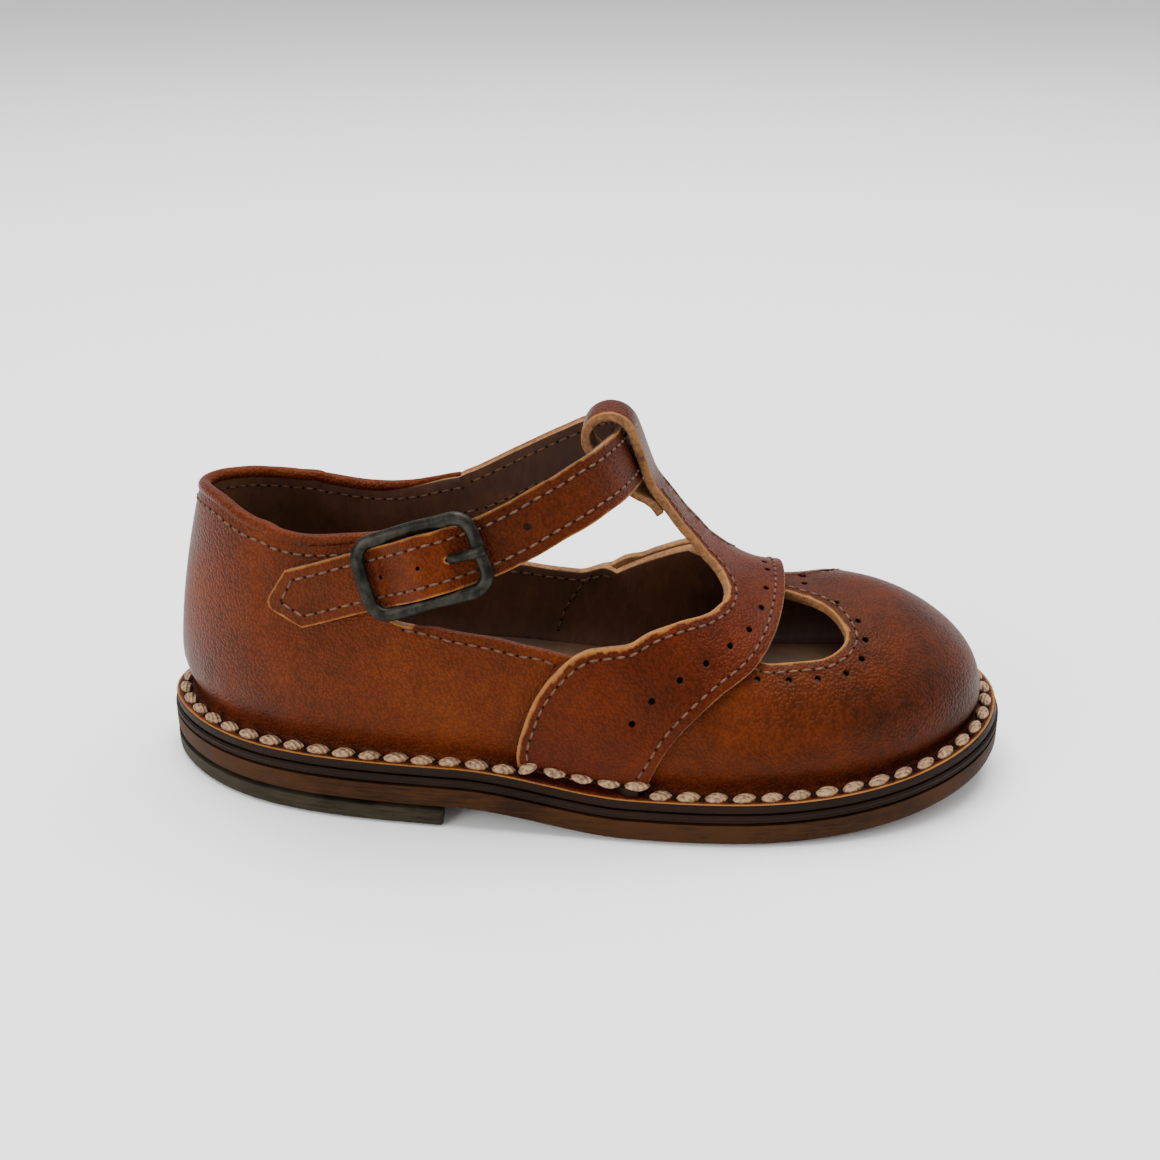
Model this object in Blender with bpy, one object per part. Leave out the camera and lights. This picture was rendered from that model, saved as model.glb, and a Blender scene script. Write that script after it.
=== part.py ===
# Child's T-bar shoe with cut-outs, right foot, stitched down to a leather sole.
# The upper is lasted: flat pattern pieces are drawn on a plan of the last and folded over its surface.
# Lengths below are in millimetres: x runs from heel to toe, y to the inner side, z up from the floor.
# They are measured from the back of the heel; MIDDLE moves the origin under the middle of the shoe.

import math

import bmesh
import bpy
import numpy as np
from mathutils import Vector
from mathutils.geometry import delaunay_2d_cdt

MM = 0.001
MIDDLE = (86.0, -1.1, 0.0)
GAP = 0.3
SLIVER = 0.001

# Sole
LENGTH = 172.0
LIFT_RISE = 4.0
LIFT_FRONT = 62.0
OUTSOLE_THICK = 4.6
SOLE_STACK = 6.6
BALL_START = 98.0
BALL_END = 118.0
TOE_SPRING = 6.4
INSOLE_THICK = 1.8
INSOLE_INSET = 0.5

# Upper
WALL = 2.0
OVERLAY = 1.8
BRIM = 4.6
BRIM_INSET = 0.4
BEND = 2.8
BRIM_ROLL = 3.5
HEEL_FAN = (30.0, -0.8)
TOE_FAN = (138.0, 3.5)
SEAM_X = 92.0
BAND_TOP = 4.0
VAMP_SPACING = 4.6
EVEN_GIRTH = 58.0
SADDLE_LIFT = 2.4
GIRTH_SHARE = 1.06

# T-bar, strap and buckle
BAR_HALF = 5.5
BAR_ROW = 99.0
LOOP_RADIUS = 4.6
LOOP_TURN = 196.0
STRAP_HALF = 5.3
STRAP_TIP = -31.0
STRAP_SHOULDER = -26.0
STRAP_SEAM_X = 61.0
BUCKLE_X = 59.4
BUCKLE_HALF = (11.2, 6.9)
BUCKLE_CORNER = 3.4
BUCKLE_HEIGHT = 6.8
WIRE_WIDE = 1.0
WIRE_THICK = 0.9
PIN_RADIUS = 0.7
PIN_HEIGHT = 5.3
PRONG_RADIUS = 0.7
PRONG_HOLE = 1.1
ELASTIC_HALF = 4.2
ELASTIC_THICK = 0.6
RIVET_PLACE = (35.5, 45.0)
RIVET_HEAD = 3.2
RIVET_SHANK = 1.4
RIVET_HOLE = 1.75

# Midsole outline seen from above, x and y, from the heel round the outer side
OUTLINE = (
    (0.0, -0.5), (6.0, -14.0), (24.0, -26.8), (55.0, -32.6), (84.0, -34.4), (110.0, -35.8),
    (134.0, -33.4), (154.0, -26.0), (168.0, -12.5), (172.0, 4.5), (166.5, 20.0), (153.0, 29.5),
    (132.0, 33.5), (108.0, 32.0), (82.0, 27.5), (54.0, 25.0), (24.0, 25.3), (6.0, 13.5),
)

# Height of the last's ridge line, x and z; it is steep where the instep rises under the strap
RIDGE = (
    (20.0, 89.5), (34.0, 89.5), (48.0, 92.0), (62.0, 93.5), (75.0, 91.0), (84.0, 84.0), (89.0, 77.5),
    (92.6, 70.1), (97.5, 59.1), (100.6, 54.8), (104.9, 49.3), (109.2, 44.4), (114.0, 39.9),
    (120.0, 36.4), (128.0, 35.0), (138.0, 34.8), (148.0, 33.6), (158.0, 31.2), (172.0, 25.5),
)

# Fullness of the last's sections, x, plan exponent, height exponent and swell over the feather line
FULLNESS = (
    (0.0, 1.55, 2.00, 2.4), (30.0, 1.58, 2.00, 2.2), (60.0, 1.85, 1.85, 1.5), (80.0, 2.20, 1.75, 1.5),
    (95.0, 2.35, 1.75, 1.6), (115.0, 2.30, 2.00, 1.7), (138.0, 2.50, 2.30, 2.0), (172.0, 2.50, 2.30, 2.0),
)

# Pattern points on the plan of the last: distance along it, and distance out from the ridge.
# The outer side of the foot is negative.
COLLAR = (
    (58.4, -60.3), (47.4, -61.3), (38.0, -60.5), (30.0, -59.1), (12.1, -55.0), (-3.6, -45.7),
    (-20.4, -24.4), (-27.2, 0.0), (-21.5, 26.6), (-6.0, 47.2), (12.3, 58.0), (31.9, 61.9), (44.9, 64.3),
)
CUTOUT = (
    (121.2, -20.9), (129.1, -20.2), (134.6, -19.0), (137.8, -15.8), (138.4, -13.0), (137.8, -10.4),
    (136.0, -6.8), (133.3, -4.2), (129.7, -2.5), (125.6, -2.0), (124.6, -6.5), (123.0, -13.0),
)
CUTOUT_AXIS = 1.75
SADDLE_REAR = (
    (76.9, -91.0), (77.8, -87.3), (79.4, -82.2), (81.6, -76.9), (85.2, -69.3), (88.6, -62.4),
    (92.4, -53.6), (98.5, -38.8), (104.8, -27.8), (110.2, -19.6), (113.2, -13.2),
)
SADDLE_CORNER = ((113.2, -13.2), (113.4, -9.6), (111.6, -6.8), (108.6, -5.7), (104.5, -BAR_HALF))
SADDLE_FRONT = (
    (102.6, -57.0), (107.3, -45.0), (114.0, -32.6), (121.0, -22.9), (124.4, -16.0), (126.3, -8.0),
    (127.0, CUTOUT_AXIS), (126.3, 11.5), (124.4, 19.4), (120.9, 26.2), (114.2, 34.4), (107.3, 43.6),
    (102.4, 51.6),
)
SADDLE_FOOT = (77.2, 99.6)

# Edges of the side openings seen from the side, x and z
OUTER_TAB = ((62.0, 58.6), (62.0, 46.6))
OUTER_NOTCH = ((62.0, 46.6), (56.5, 45.6), (52.2, 44.0), (51.0, 42.2), (53.2, 40.4), (58.0, 39.6))
OUTER_EDGE = ((58.0, 39.6), (69.5, 38.5), (77.6, 37.0), (86.7, 35.2), (SEAM_X, 34.4))
INNER_EDGE = (
    (53.8, 39.6), (57.5, 36.4), (64.0, 33.9), (70.0, 32.5), (77.7, 31.1), (84.0, 30.1), (SEAM_X, 29.8),
)
OPENING_FRONT = (
    (98.5, -41.6), (104.8, -30.8), (111.2, -21.4), (115.0, -13.0), (115.6, -6.0), (115.6, 0.0),
    (115.6, 6.0), (114.6, 14.4), (109.6, 21.4),
)

INNER_EDGE_FRONT = ((107.4, 37.0), (102.4, 34.6), (97.4, 32.4), (SEAM_X, 29.8))
SADDLE_REAR_INNER = (
    (77.5, 10.8), (78.2, 13.6), (79.1, 17.0), (80.8, 21.4), (83.3, 25.8), (86.4, 28.7), (90.0, 30.3),
    (97.1, 32.7), (102.2, 34.8), (107.6, 37.2), (110.8, 38.6),
)

# Middle of the ankle strap seen from the side, x and z, tip first, then over the ridge at RIDGE_CROSS
STRAP_OUTER = (
    (26.0, 40.8), (33.5, 43.4), (47.9, 48.2), (59.4, 52.2), (70.5, 55.6), (76.1, 58.2), (81.6, 61.2),
    (87.0, 63.9), (91.6, 65.8),
)
RIDGE_CROSS = 94.6
STRAP_INNER = ((91.6, 64.6), (87.0, 62.2), (79.0, 57.9), (70.5, 53.4), (61.0, 48.9), (52.0, 46.0))

# The T-bar over and behind the strap: distance along the last, and how far off its usual place
BAR_CLIMB = ((98.0, 0.0), (97.0, 0.1), (96.0, 0.3), (94.8, 0.5), (93.7, 0.7), (92.6, 0.8))
BAR_TAIL = (
    (93.8, -3.1), (95.2, -1.6), (96.4, -0.7), (97.3, -0.3), (98.1, 0.6), (98.9, 1.5), (99.8, 2.0),
    (101.2, 2.0),
)

# How far the strap stands off the last: distance from the buckle's pin, height of its inner face
STRAP_LIFT = (
    (-32.0, 3.3), (-22.0, 3.35), (-13.5, 3.4), (-9.2, 3.4), (-4.4, 6.0), (0.0, 7.4), (4.4, 6.0),
    (9.2, 3.4), (14.0, 2.8), (22.0, 1.4), (30.0, 0.3), (36.0, 0.0), (42.0, 0.0), (160.0, 0.0),
)

BUCKLE_ROWS = (
    -13.5, -10.9, -8.9, -7.4, -5.8, -4.2, -2.8, -1.4, 0.0, 1.4, 2.8, 4.2, 5.8, 7.4, 8.9, 10.9, 13.5,
    16.5, 20.0, 23.5, 27.0,
)

COLOURS = {
    "upper_leather": (0.175, 0.052, 0.020, 0.42, 0.0),
    "insole_leather": (0.270, 0.145, 0.052, 0.60, 0.0),
    "sole_leather": (0.070, 0.030, 0.019, 0.55, 0.0),
    "midsole_black": (0.024, 0.014, 0.016, 0.40, 0.0),
    "lift_rubber": (0.045, 0.042, 0.028, 0.70, 0.0),
    "buckle_metal": (0.070, 0.068, 0.056, 0.35, 1.0),
    "black_elastic": (0.010, 0.010, 0.010, 0.80, 0.0),
    "rivet_black": (0.012, 0.012, 0.012, 0.35, 0.0),
}


# Curves

def smooth_table(rows, column=1):
    """A smooth function through one column of a table, against its first column."""
    data = np.array(rows, float)
    xs, ys = data[:, 0], data[:, column]
    gaps = np.diff(xs)
    rises = np.diff(ys) / gaps
    slopes = np.empty(len(xs))
    slopes[1:-1] = (rises[:-1] * gaps[1:] + rises[1:] * gaps[:-1]) / (gaps[1:] + gaps[:-1])
    slopes[0], slopes[-1] = rises[0], rises[-1]

    def value(x):
        x = np.asarray(x, float)
        k = np.clip(np.searchsorted(xs, x) - 1, 0, len(xs) - 2)
        u = np.clip((x - xs[k]) / gaps[k], 0.0, 1.0)
        start = (2 * u**3 - 3 * u**2 + 1) * ys[k] + (u**3 - 2 * u**2 + u) * gaps[k] * slopes[k]
        return start + (3 * u**2 - 2 * u**3) * ys[k + 1] + (u**3 - u**2) * gaps[k] * slopes[k + 1]

    return value


def closed_curve(points, count):
    """Points at even distances on a smooth closed curve through the given points."""
    p = np.array(points, float)
    n = len(p)
    span = np.linalg.norm(np.roll(p, -1, 0) - p, axis=1) ** 0.7
    matrix, right = np.zeros((n, n)), np.zeros((n, 2))
    for i in range(n):
        before, after = span[i - 1], span[i]
        matrix[i, i - 1], matrix[i, i], matrix[i, (i + 1) % n] = after, 2 * (before + after), before
        right[i] = 3 * (after / before * (p[i] - p[i - 1]) + before / after * (p[(i + 1) % n] - p[i]))
    slope = np.linalg.solve(matrix, right)
    knots = np.r_[0, np.cumsum(span)]
    t = np.linspace(0, knots[-1], 2400, endpoint=False)
    k = np.clip(np.searchsorted(knots, t, side="right") - 1, 0, n - 1)
    h = span[k][:, None]
    u = (t - knots[k])[:, None] / h
    k2 = (k + 1) % n
    fine = (2 * u**3 - 3 * u**2 + 1) * p[k] + (u**3 - 2 * u**2 + u) * h * slope[k]
    fine = fine + (3 * u**2 - 2 * u**3) * p[k2] + (u**3 - u**2) * h * slope[k2]
    return resample(np.vstack([fine, fine[:1]]), count + 1)[:-1]


def resample(line, count):
    """The same open line with a number of points at even distances."""
    along = np.r_[0, np.cumsum(np.linalg.norm(np.diff(line, axis=0), axis=1))]
    marks = np.linspace(0, along[-1], count)
    return np.stack([np.interp(marks, along, line[:, i]) for i in range(line.shape[1])], 1)


def smooth_run(points, step):
    """An open smooth line through the given points, about one step between its points."""
    p = np.array(points, float)
    if len(p) > 2:
        t = np.r_[0, np.cumsum(np.linalg.norm(np.diff(p, axis=0), axis=1) ** 0.7)]
        fine = np.linspace(0, t[-1], 40 * len(p))
        p = np.stack([smooth_table(np.c_[t, p[:, i]])(fine) for i in range(p.shape[1])], 1)
    length = np.linalg.norm(np.diff(p, axis=0), axis=1).sum()
    return resample(p, max(2, int(round(length / step)) + 1))


def inset(curve, distance):
    """A closed curve moved inwards."""
    along = np.roll(curve, -1, 0) - np.roll(curve, 1, 0)
    along /= np.linalg.norm(along, axis=1)[:, None]
    return curve + np.c_[-along[:, 1], along[:, 0]] * distance


# The last

EDGE = closed_curve(OUTLINE, 720)
FEATHER = inset(EDGE, BRIM + WALL)
FEATHER_RUN = np.r_[0, np.cumsum(np.linalg.norm(np.roll(FEATHER, -1, 0) - FEATHER, axis=1))]
ridge_height = smooth_table(RIDGE)
plan_power = smooth_table(FULLNESS, 1)
rise_power = smooth_table(FULLNESS, 2)
swell_out = smooth_table(FULLNESS, 3)


def ground(x):
    """Underside of the outsole: flat at the ball, up over the heel lift, and up at the toe."""
    x = np.asarray(x, float)
    toe = np.clip((x - BALL_END) / (LENGTH - BALL_END), 0, 1)
    arch = np.clip((BALL_START - x) / (BALL_START - LIFT_FRONT - 2.0), 0, 1)
    return TOE_SPRING * toe**2 + LIFT_RISE * arch * arch * (3 - 2 * arch)


def seat(x):
    """Top of the midsole."""
    return ground(x) + SOLE_STACK


def spine_y(x):
    """Middle line of the last seen from above."""
    u = np.clip((x - HEEL_FAN[0]) / (TOE_FAN[0] - HEEL_FAN[0]), 0, 1)
    return HEEL_FAN[1] + (TOE_FAN[1] - HEEL_FAN[1]) * u * u * (3 - 2 * u)


def reach_of(curve):
    """Distance from the middle line to a closed curve, sideways or round the heel and toe fans."""
    x, y = curve.T
    outer = y < spine_y(x)
    order_o, order_i = np.argsort(x[outer]), np.argsort(x[~outer])
    side_o = x[outer][order_o], y[outer][order_o]
    side_i = x[~outer][order_i], y[~outer][order_i]

    def fan(centre):
        turn = np.arctan2(y - centre[1], x - centre[0])
        order = np.argsort(turn)
        turn, away = turn[order], np.hypot(x - centre[0], y - centre[1])[order]
        return np.r_[turn - 2 * np.pi, turn, turn + 2 * np.pi], np.tile(away, 3)

    toe, heel = fan(TOE_FAN), fan(HEEL_FAN)

    def reach(cx, cy, turn, zone):
        side = np.where(np.sin(turn) < 0, cy - np.interp(cx, *side_o), np.interp(cx, *side_i) - cy)
        side = np.where(zone > 0, np.interp(turn, *toe), side)
        return np.where(zone < 0, np.interp(turn, *heel), side)

    return reach


feather_reach = reach_of(FEATHER)
edge_reach = reach_of(EDGE)


def rays(pattern):
    """Where each pattern point's line starts on the middle line, its direction, and how far out it is."""
    u, v = pattern[:, 0], pattern[:, 1]
    cx = np.clip(u, HEEL_FAN[0], TOE_FAN[0])
    zone = np.where(u > TOE_FAN[0], 1, np.where(u < HEEL_FAN[0], -1, 0))
    turn = np.where(zone == 0, np.where(v < 0, -np.pi / 2, np.pi / 2), np.arctan2(v, u - cx))
    return cx, spine_y(cx), turn, zone, np.hypot(u - cx, v)


def girth_of(cx, cy, turn, zone):
    """Half girth of the last on a ray, from the ridge to the feather line, and its reach in plan."""
    reach = feather_reach(cx, cy, turn, zone)
    height = ridge_height(cx) - seat(cx) - BEND
    return GIRTH_SHARE * np.pi / 2 * np.sqrt((reach**2 + height**2) / 2), reach


def last_surface(pattern):
    """Pattern points folded over the last, down the wall, round the bend and out along the brim."""
    cx, cy, turn, zone, out = rays(pattern)
    girth, reach = girth_of(cx, cy, turn, zone)
    dx, dy = np.where(zone == 0, 0.0, np.cos(turn)), np.sin(turn)
    angle = np.pi / 2 * (1 - np.clip(out / girth, 0, 1))
    middle = cx + dx * reach * 0.7
    inward = np.cos(angle) ** (2 / plan_power(middle))
    x = cx + dx * reach * inward
    rise = (ridge_height(x) - seat(x) - BEND) * np.clip(np.sin(angle), 0, 1) ** (2 / rise_power(middle))
    swell = swell_out(x) * (1 - np.exp(-(rise / 6.0) ** 2)) * np.exp(-(rise / 34.0) ** 2)
    away = reach * inward + swell * np.sqrt(np.clip(np.cos(angle), 0, 1))
    past = out - girth
    bend = np.clip(past / BEND, 0, np.pi / 2)
    flat = np.clip(past - BEND * np.pi / 2, 0, BRIM_ROLL) / BRIM_ROLL
    room = edge_reach(cx, cy, turn, zone) - BRIM_INSET - reach - BEND
    away = away + np.where(past > 0, BEND * (1 - np.cos(bend)), 0) + flat * room
    height = np.where(past > 0, BEND * (1 - np.sin(bend)), BEND + rise)
    x, y = cx + dx * away, cy + dy * away
    return np.stack([x, y, seat(x) + GAP + height], 1)


def face_out(pattern):
    """Outward normals of the last at pattern points."""
    step = 0.05
    along = last_surface(pattern + [step, 0]) - last_surface(pattern - [step, 0])
    across = last_surface(pattern + [0, step]) - last_surface(pattern - [0, step])
    normal = np.cross(along, across)
    return normal / (np.linalg.norm(normal, axis=1)[:, None] + 1e-12)


def lasted(pattern, lift):
    """Pattern points folded over the last and lifted off it."""
    pattern = np.atleast_2d(np.asarray(pattern, float))
    lift = np.broadcast_to(np.asarray(lift, float), len(pattern))
    return last_surface(pattern) + face_out(pattern) * lift[:, None]


def side_view(points, side):
    """Pattern points for places on the wall given by x and z; side is -1 for the outer side."""
    xz = np.array(points, float)
    x = xz[:, 0]
    turn = np.full(len(x), side * np.pi / 2)
    girth, _ = girth_of(x, spine_y(x), turn, np.zeros(len(x)))
    base = seat(x) + GAP + BEND
    part = np.clip((xz[:, 1] - base) / (ridge_height(x) - seat(x) - BEND), 0, 1)
    angle = np.arcsin(np.clip(part ** (rise_power(x) / 2), 0, 1))
    return np.c_[x, side * girth * (1 - 2 * angle / np.pi)]


def on_ray(run, up):
    """Pattern points for a distance round the feather line and a distance up from the bend."""
    total = FEATHER_RUN[-1]
    closed = np.vstack([FEATHER, FEATHER[:1]])
    foot = np.stack([np.interp(np.mod(run, total), FEATHER_RUN, closed[:, i]) for i in range(2)], 1)
    cx = np.clip(foot[:, 0], HEEL_FAN[0], TOE_FAN[0])
    cy = spine_y(cx)
    zone = np.where(foot[:, 0] > TOE_FAN[0], 1, np.where(foot[:, 0] < HEEL_FAN[0], -1, 0))
    turn = np.arctan2(foot[:, 1] - cy, foot[:, 0] - cx)
    turn = np.where(zone == 0, np.sign(foot[:, 1] - cy) * np.pi / 2, turn)
    girth, _ = girth_of(cx, cy, turn, zone)
    out = girth - up
    return np.stack([cx + np.where(zone == 0, 0, np.cos(turn)) * out, np.sin(turn) * out], 1)


def round_heel(pattern):
    """Distance round the feather line, outer side positive, and up from the bend, for pattern points."""
    cx, cy, turn, zone, out = rays(np.asarray(pattern, float))
    girth, _ = girth_of(cx, cy, turn, zone)
    half = FEATHER_RUN[-1] / 2
    run = np.where(FEATHER_RUN[:-1] > half, FEATHER_RUN[:-1] - 2 * half, FEATHER_RUN[:-1])
    mid_y = spine_y(FEATHER[:, 0])
    found = np.empty(len(cx))
    for i in range(len(cx)):
        if zone[i] < 0:
            place = np.arctan2(FEATHER[:, 1] - HEEL_FAN[1], FEATHER[:, 0] - HEEL_FAN[0]) % (2 * np.pi)
            mask, key = FEATHER[:, 0] < HEEL_FAN[0] + 4, turn[i] % (2 * np.pi)
        else:
            place = FEATHER[:, 0]
            mask, key = ((FEATHER[:, 1] - mid_y) * np.sin(turn[i]) > 0) & (place < 125), cx[i]
        order = np.argsort(place[mask])
        found[i] = np.interp(key, place[mask][order], run[mask][order])
    return np.c_[found, girth - out]


# Sheets of leather

def inside(points, loops):
    """Which points lie inside the first loop and outside the others."""
    hit = np.zeros(len(points), bool)
    x, y = points[:, 0], points[:, 1]
    for loop in loops:
        for (x1, y1), (x2, y2) in zip(loop, np.roll(loop, -1, 0)):
            if y1 == y2:
                continue
            crosses = (y1 > y) != (y2 > y)
            hit ^= crosses & (x < (x2 - x1) * (y - y1) / (y2 - y1) + x1)
    return hit


def fill(loops, spacing):
    """Even triangles between closed loops in a plane: points and faces."""
    loops = [np.array(loop, float) for loop in loops]
    low, high = loops[0].min(0), loops[0].max(0)
    rows = np.arange(low[1], high[1], spacing * 0.866)
    grid = []
    for i, row in enumerate(rows):
        start = low[0] + (i % 2) * spacing / 2
        grid += [(x, row) for x in np.arange(start, high[0], spacing)]
    grid = np.array(grid)
    grid = grid[inside(grid, loops)]
    border = np.vstack([resample(np.vstack([a, a[:1]]), 3 * len(a)) for a in loops])
    near = np.min(np.linalg.norm(grid[:, None] - border[None], axis=2), axis=1)
    grid = grid[near > 0.6 * spacing]
    points, edges = np.vstack(loops + [grid]), []
    first = 0
    for loop in loops:
        count = len(loop)
        edges += [(first + i, first + (i + 1) % count) for i in range(count)]
        first += count
    result = delaunay_2d_cdt([Vector(p) for p in points], edges, [], 0, 1e-6)
    made = np.array([tuple(v) for v in result[0]])
    faces = np.array(result[2])
    faces = faces[inside(made[faces].mean(1), loops)]
    one, two = made[faces[:, 1]] - made[faces[:, 0]], made[faces[:, 2]] - made[faces[:, 0]]
    area = one[:, 0] * two[:, 1] - one[:, 1] * two[:, 0]
    faces[area < 0] = faces[area < 0][:, ::-1]
    return made, faces[np.abs(area) > SLIVER]


def fill_pattern(loops, spacing):
    """Even triangles between closed loops of pattern points, with the tall instep drawn narrower."""
    def width(pattern):
        u = np.clip(pattern[:, 0], 76.0, 112.0)
        girth, _ = girth_of(u, spine_y(u), np.full(len(u), -np.pi / 2), np.zeros(len(u)))
        return girth / EVEN_GIRTH

    narrow = [np.c_[loop[:, 0], loop[:, 1] / width(loop)] for loop in loops]
    points, faces = fill(narrow, spacing)
    return np.c_[points[:, 0], points[:, 1] * width(points)], faces


def grid_faces(rows, columns):
    """Triangles of a grid of points stored row by row."""
    faces = []
    for r in range(rows - 1):
        for c in range(columns - 1):
            a = r * columns + c
            faces += [(a, a + 1, a + columns + 1), (a, a + columns + 1, a + columns)]
    return np.array(faces)


def joined(sheets):
    """Sheets of inner and outer points joined where their inner points meet."""
    inner = np.vstack([s[0] for s in sheets])
    outer = np.vstack([s[1] for s in sheets])
    shift = np.cumsum([0] + [len(s[0]) for s in sheets[:-1]])
    faces = np.vstack([s[2] + k for s, k in zip(sheets, shift)])
    same = np.arange(len(inner))
    for i in range(1, len(inner)):
        apart = np.linalg.norm(inner[:i] - inner[i], axis=1)
        k = int(np.argmin(apart))
        if apart[k] < 0.02:
            same[i] = same[k]
    kept, index = np.unique(same, return_inverse=True)
    return inner[kept], outer[kept], index[faces]


def shell(inner, outer, faces):
    """A closed solid between an inner and an outer sheet with the same faces."""
    count = len(inner)
    edges = {}
    for a, b, c in faces:
        for edge in ((a, b), (b, c), (c, a)):
            edges[edge] = True
    rim = []
    for a, b in edges:
        if (b, a) not in edges:
            rim += [(a, a + count, b + count), (a, b + count, b)]
    solid = [(a + count, b + count, c + count) for a, b, c in faces] + [(c, b, a) for a, b, c in faces]
    rim = [(c, b, a) for a, b, c in rim]
    return np.vstack([inner, outer]), solid + rim


def material(name):
    """The named finish as a Principled material."""
    made = bpy.data.materials.get(name)
    if made is None:
        made = bpy.data.materials.new(name)
        made.use_nodes = True
        shader = made.node_tree.nodes["Principled BSDF"]
        red, green, blue, rough, metal = COLOURS[name]
        shader.inputs["Base Color"].default_value = (red, green, blue, 1.0)
        shader.inputs["Roughness"].default_value = rough
        shader.inputs["Metallic"].default_value = metal
    return made


def add_piece(name, points, faces, finish):
    """A named object from points in millimetres and faces."""
    mesh = bpy.data.meshes.new(name)
    placed = (np.asarray(points) - MIDDLE) * MM
    mesh.from_pydata([tuple(p) for p in placed], [], [tuple(map(int, f)) for f in faces])
    mesh.shade_smooth()
    mesh.set_sharp_from_angle(angle=math.radians(38))
    mesh.materials.append(material(finish))
    piece = bpy.data.objects.new(name, mesh)
    bpy.context.scene.collection.objects.link(piece)
    return piece


def combine(piece, other, operation):
    """Cut one piece with another, or join them, with a live Boolean."""
    other.hide_render = True
    other.display_type = "WIRE"
    change = piece.modifiers.new(operation.lower(), "BOOLEAN")
    change.operation = operation
    change.solver = "EXACT"
    change.object = other


def tube(centres, wide, deep, closed, sides):
    """Points and faces of a bar along a line, given its centres and two cross directions per point."""
    path, side, up = centres
    turns = np.arange(sides) * 2 * np.pi / sides
    ring = path[:, None] + wide * np.cos(turns)[None, :, None] * side[:, None]
    ring = ring + deep * np.sin(turns)[None, :, None] * up[:, None]
    count = len(path)
    faces = []
    for i in range(count if closed else count - 1):
        for j in range(sides):
            a, b = i * sides + j, i * sides + (j + 1) % sides
            c, d = (i + 1) % count * sides + (j + 1) % sides, (i + 1) % count * sides + j
            faces += [(a, b, c), (a, c, d)]
    if not closed:
        last = (count - 1) * sides
        faces += [(0, j + 1, j) for j in range(1, sides - 1)]
        faces += [(last, last + j, last + j + 1) for j in range(1, sides - 1)]
    return ring.reshape(-1, 3), faces


def point_outwards(piece):
    """Make a closed piece's faces look out."""
    net = bmesh.new()
    net.from_mesh(piece.data)
    bmesh.ops.recalc_face_normals(net, faces=net.faces)
    net.to_mesh(piece.data)
    net.free()
    piece.data.set_sharp_from_angle(angle=math.radians(38))


# The sole

def sole_layer(name, curve, rows, finish, spacing=9.0):
    """A flat layer of the sole; rows give how far in its side is, and the height, from the bottom up."""
    rings = [inset(curve, away) for away, _ in rows]
    count = len(curve)
    points, faces = [], []
    for end, ring in ((0, rings[0]), (-1, rings[-1])):
        flat, cap = fill([ring], spacing)
        height = rows[end][1](flat[:, 0])
        faces += [tuple(f + sum(len(p) for p in points)) for f in (cap[:, ::-1] if end == 0 else cap)]
        points.append(np.c_[flat, height])
    first = sum(len(p) for p in points)
    for ring, (_, height) in zip(rings, rows):
        points.append(np.c_[ring, height(ring[:, 0])])
    for r in range(len(rows) - 1):
        for i in range(count):
            a, b = first + r * count + i, first + r * count + (i + 1) % count
            faces += [(a, b, b + count), (a, b + count, a + count)]
    piece = add_piece(name, np.vstack(points), faces, finish)
    net = bmesh.new()
    net.from_mesh(piece.data)
    bmesh.ops.remove_doubles(net, verts=net.verts, dist=0.00001)
    net.to_mesh(piece.data)
    net.free()
    point_outwards(piece)
    return piece


def raised(height):
    """The outsole's underside moved up."""
    return lambda x: ground(x) + height


def level(height):
    """A flat height."""
    return lambda x: np.full(np.shape(x), height)


def build_sole():
    """Heel lift, outsole, midsole and insole."""
    edge = closed_curve(OUTLINE, 96)
    outsole_rows = ((1.0, raised(0.0)), (0.25, raised(0.9)), (0.0, raised(2.2)), (0.0, raised(OUTSOLE_THICK)))
    sole_layer("outsole", edge, outsole_rows, "sole_leather")
    welt = raised(OUTSOLE_THICK + GAP), raised(OUTSOLE_THICK + GAP + 0.7), raised(SOLE_STACK - 0.6)
    midsole_rows = ((0.5, welt[0]), (0.0, welt[1]), (0.0, welt[2]), (0.5, raised(SOLE_STACK)))
    sole_layer("midsole", edge, midsole_rows, "midsole_black")
    insole_edge = inset(closed_curve(OUTLINE, 72), BRIM + WALL + INSOLE_INSET)
    base = SOLE_STACK + GAP + 0.1
    insole_rows = ((0.0, raised(base)), (0.0, raised(base + INSOLE_THICK - 0.5)), (0.5, raised(base + INSOLE_THICK)))
    sole_layer("insole", insole_edge, insole_rows, "insole_leather")
    back = edge[edge[:, 0] < LIFT_FRONT - 1.0]
    turn = int(np.argmax(np.linalg.norm(np.diff(back, axis=0), axis=1))) + 1
    back = np.roll(back, -turn, axis=0)
    inner, outer = back[0].copy(), back[-1].copy()
    inner[0], outer[0] = LIFT_FRONT, LIFT_FRONT
    breast = smooth_run((outer, (LIFT_FRONT - 2.4, 0.5 * (inner[1] + outer[1])), inner), 6.0)
    lift_edge = np.vstack([back, breast])
    lift_rows = ((0.7, level(0.0)), (0.0, level(0.8)), (0.0, level(LIFT_RISE - GAP)))
    sole_layer("heel_lift", lift_edge, lift_rows, "lift_rubber")


# The strap's own frame

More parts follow.
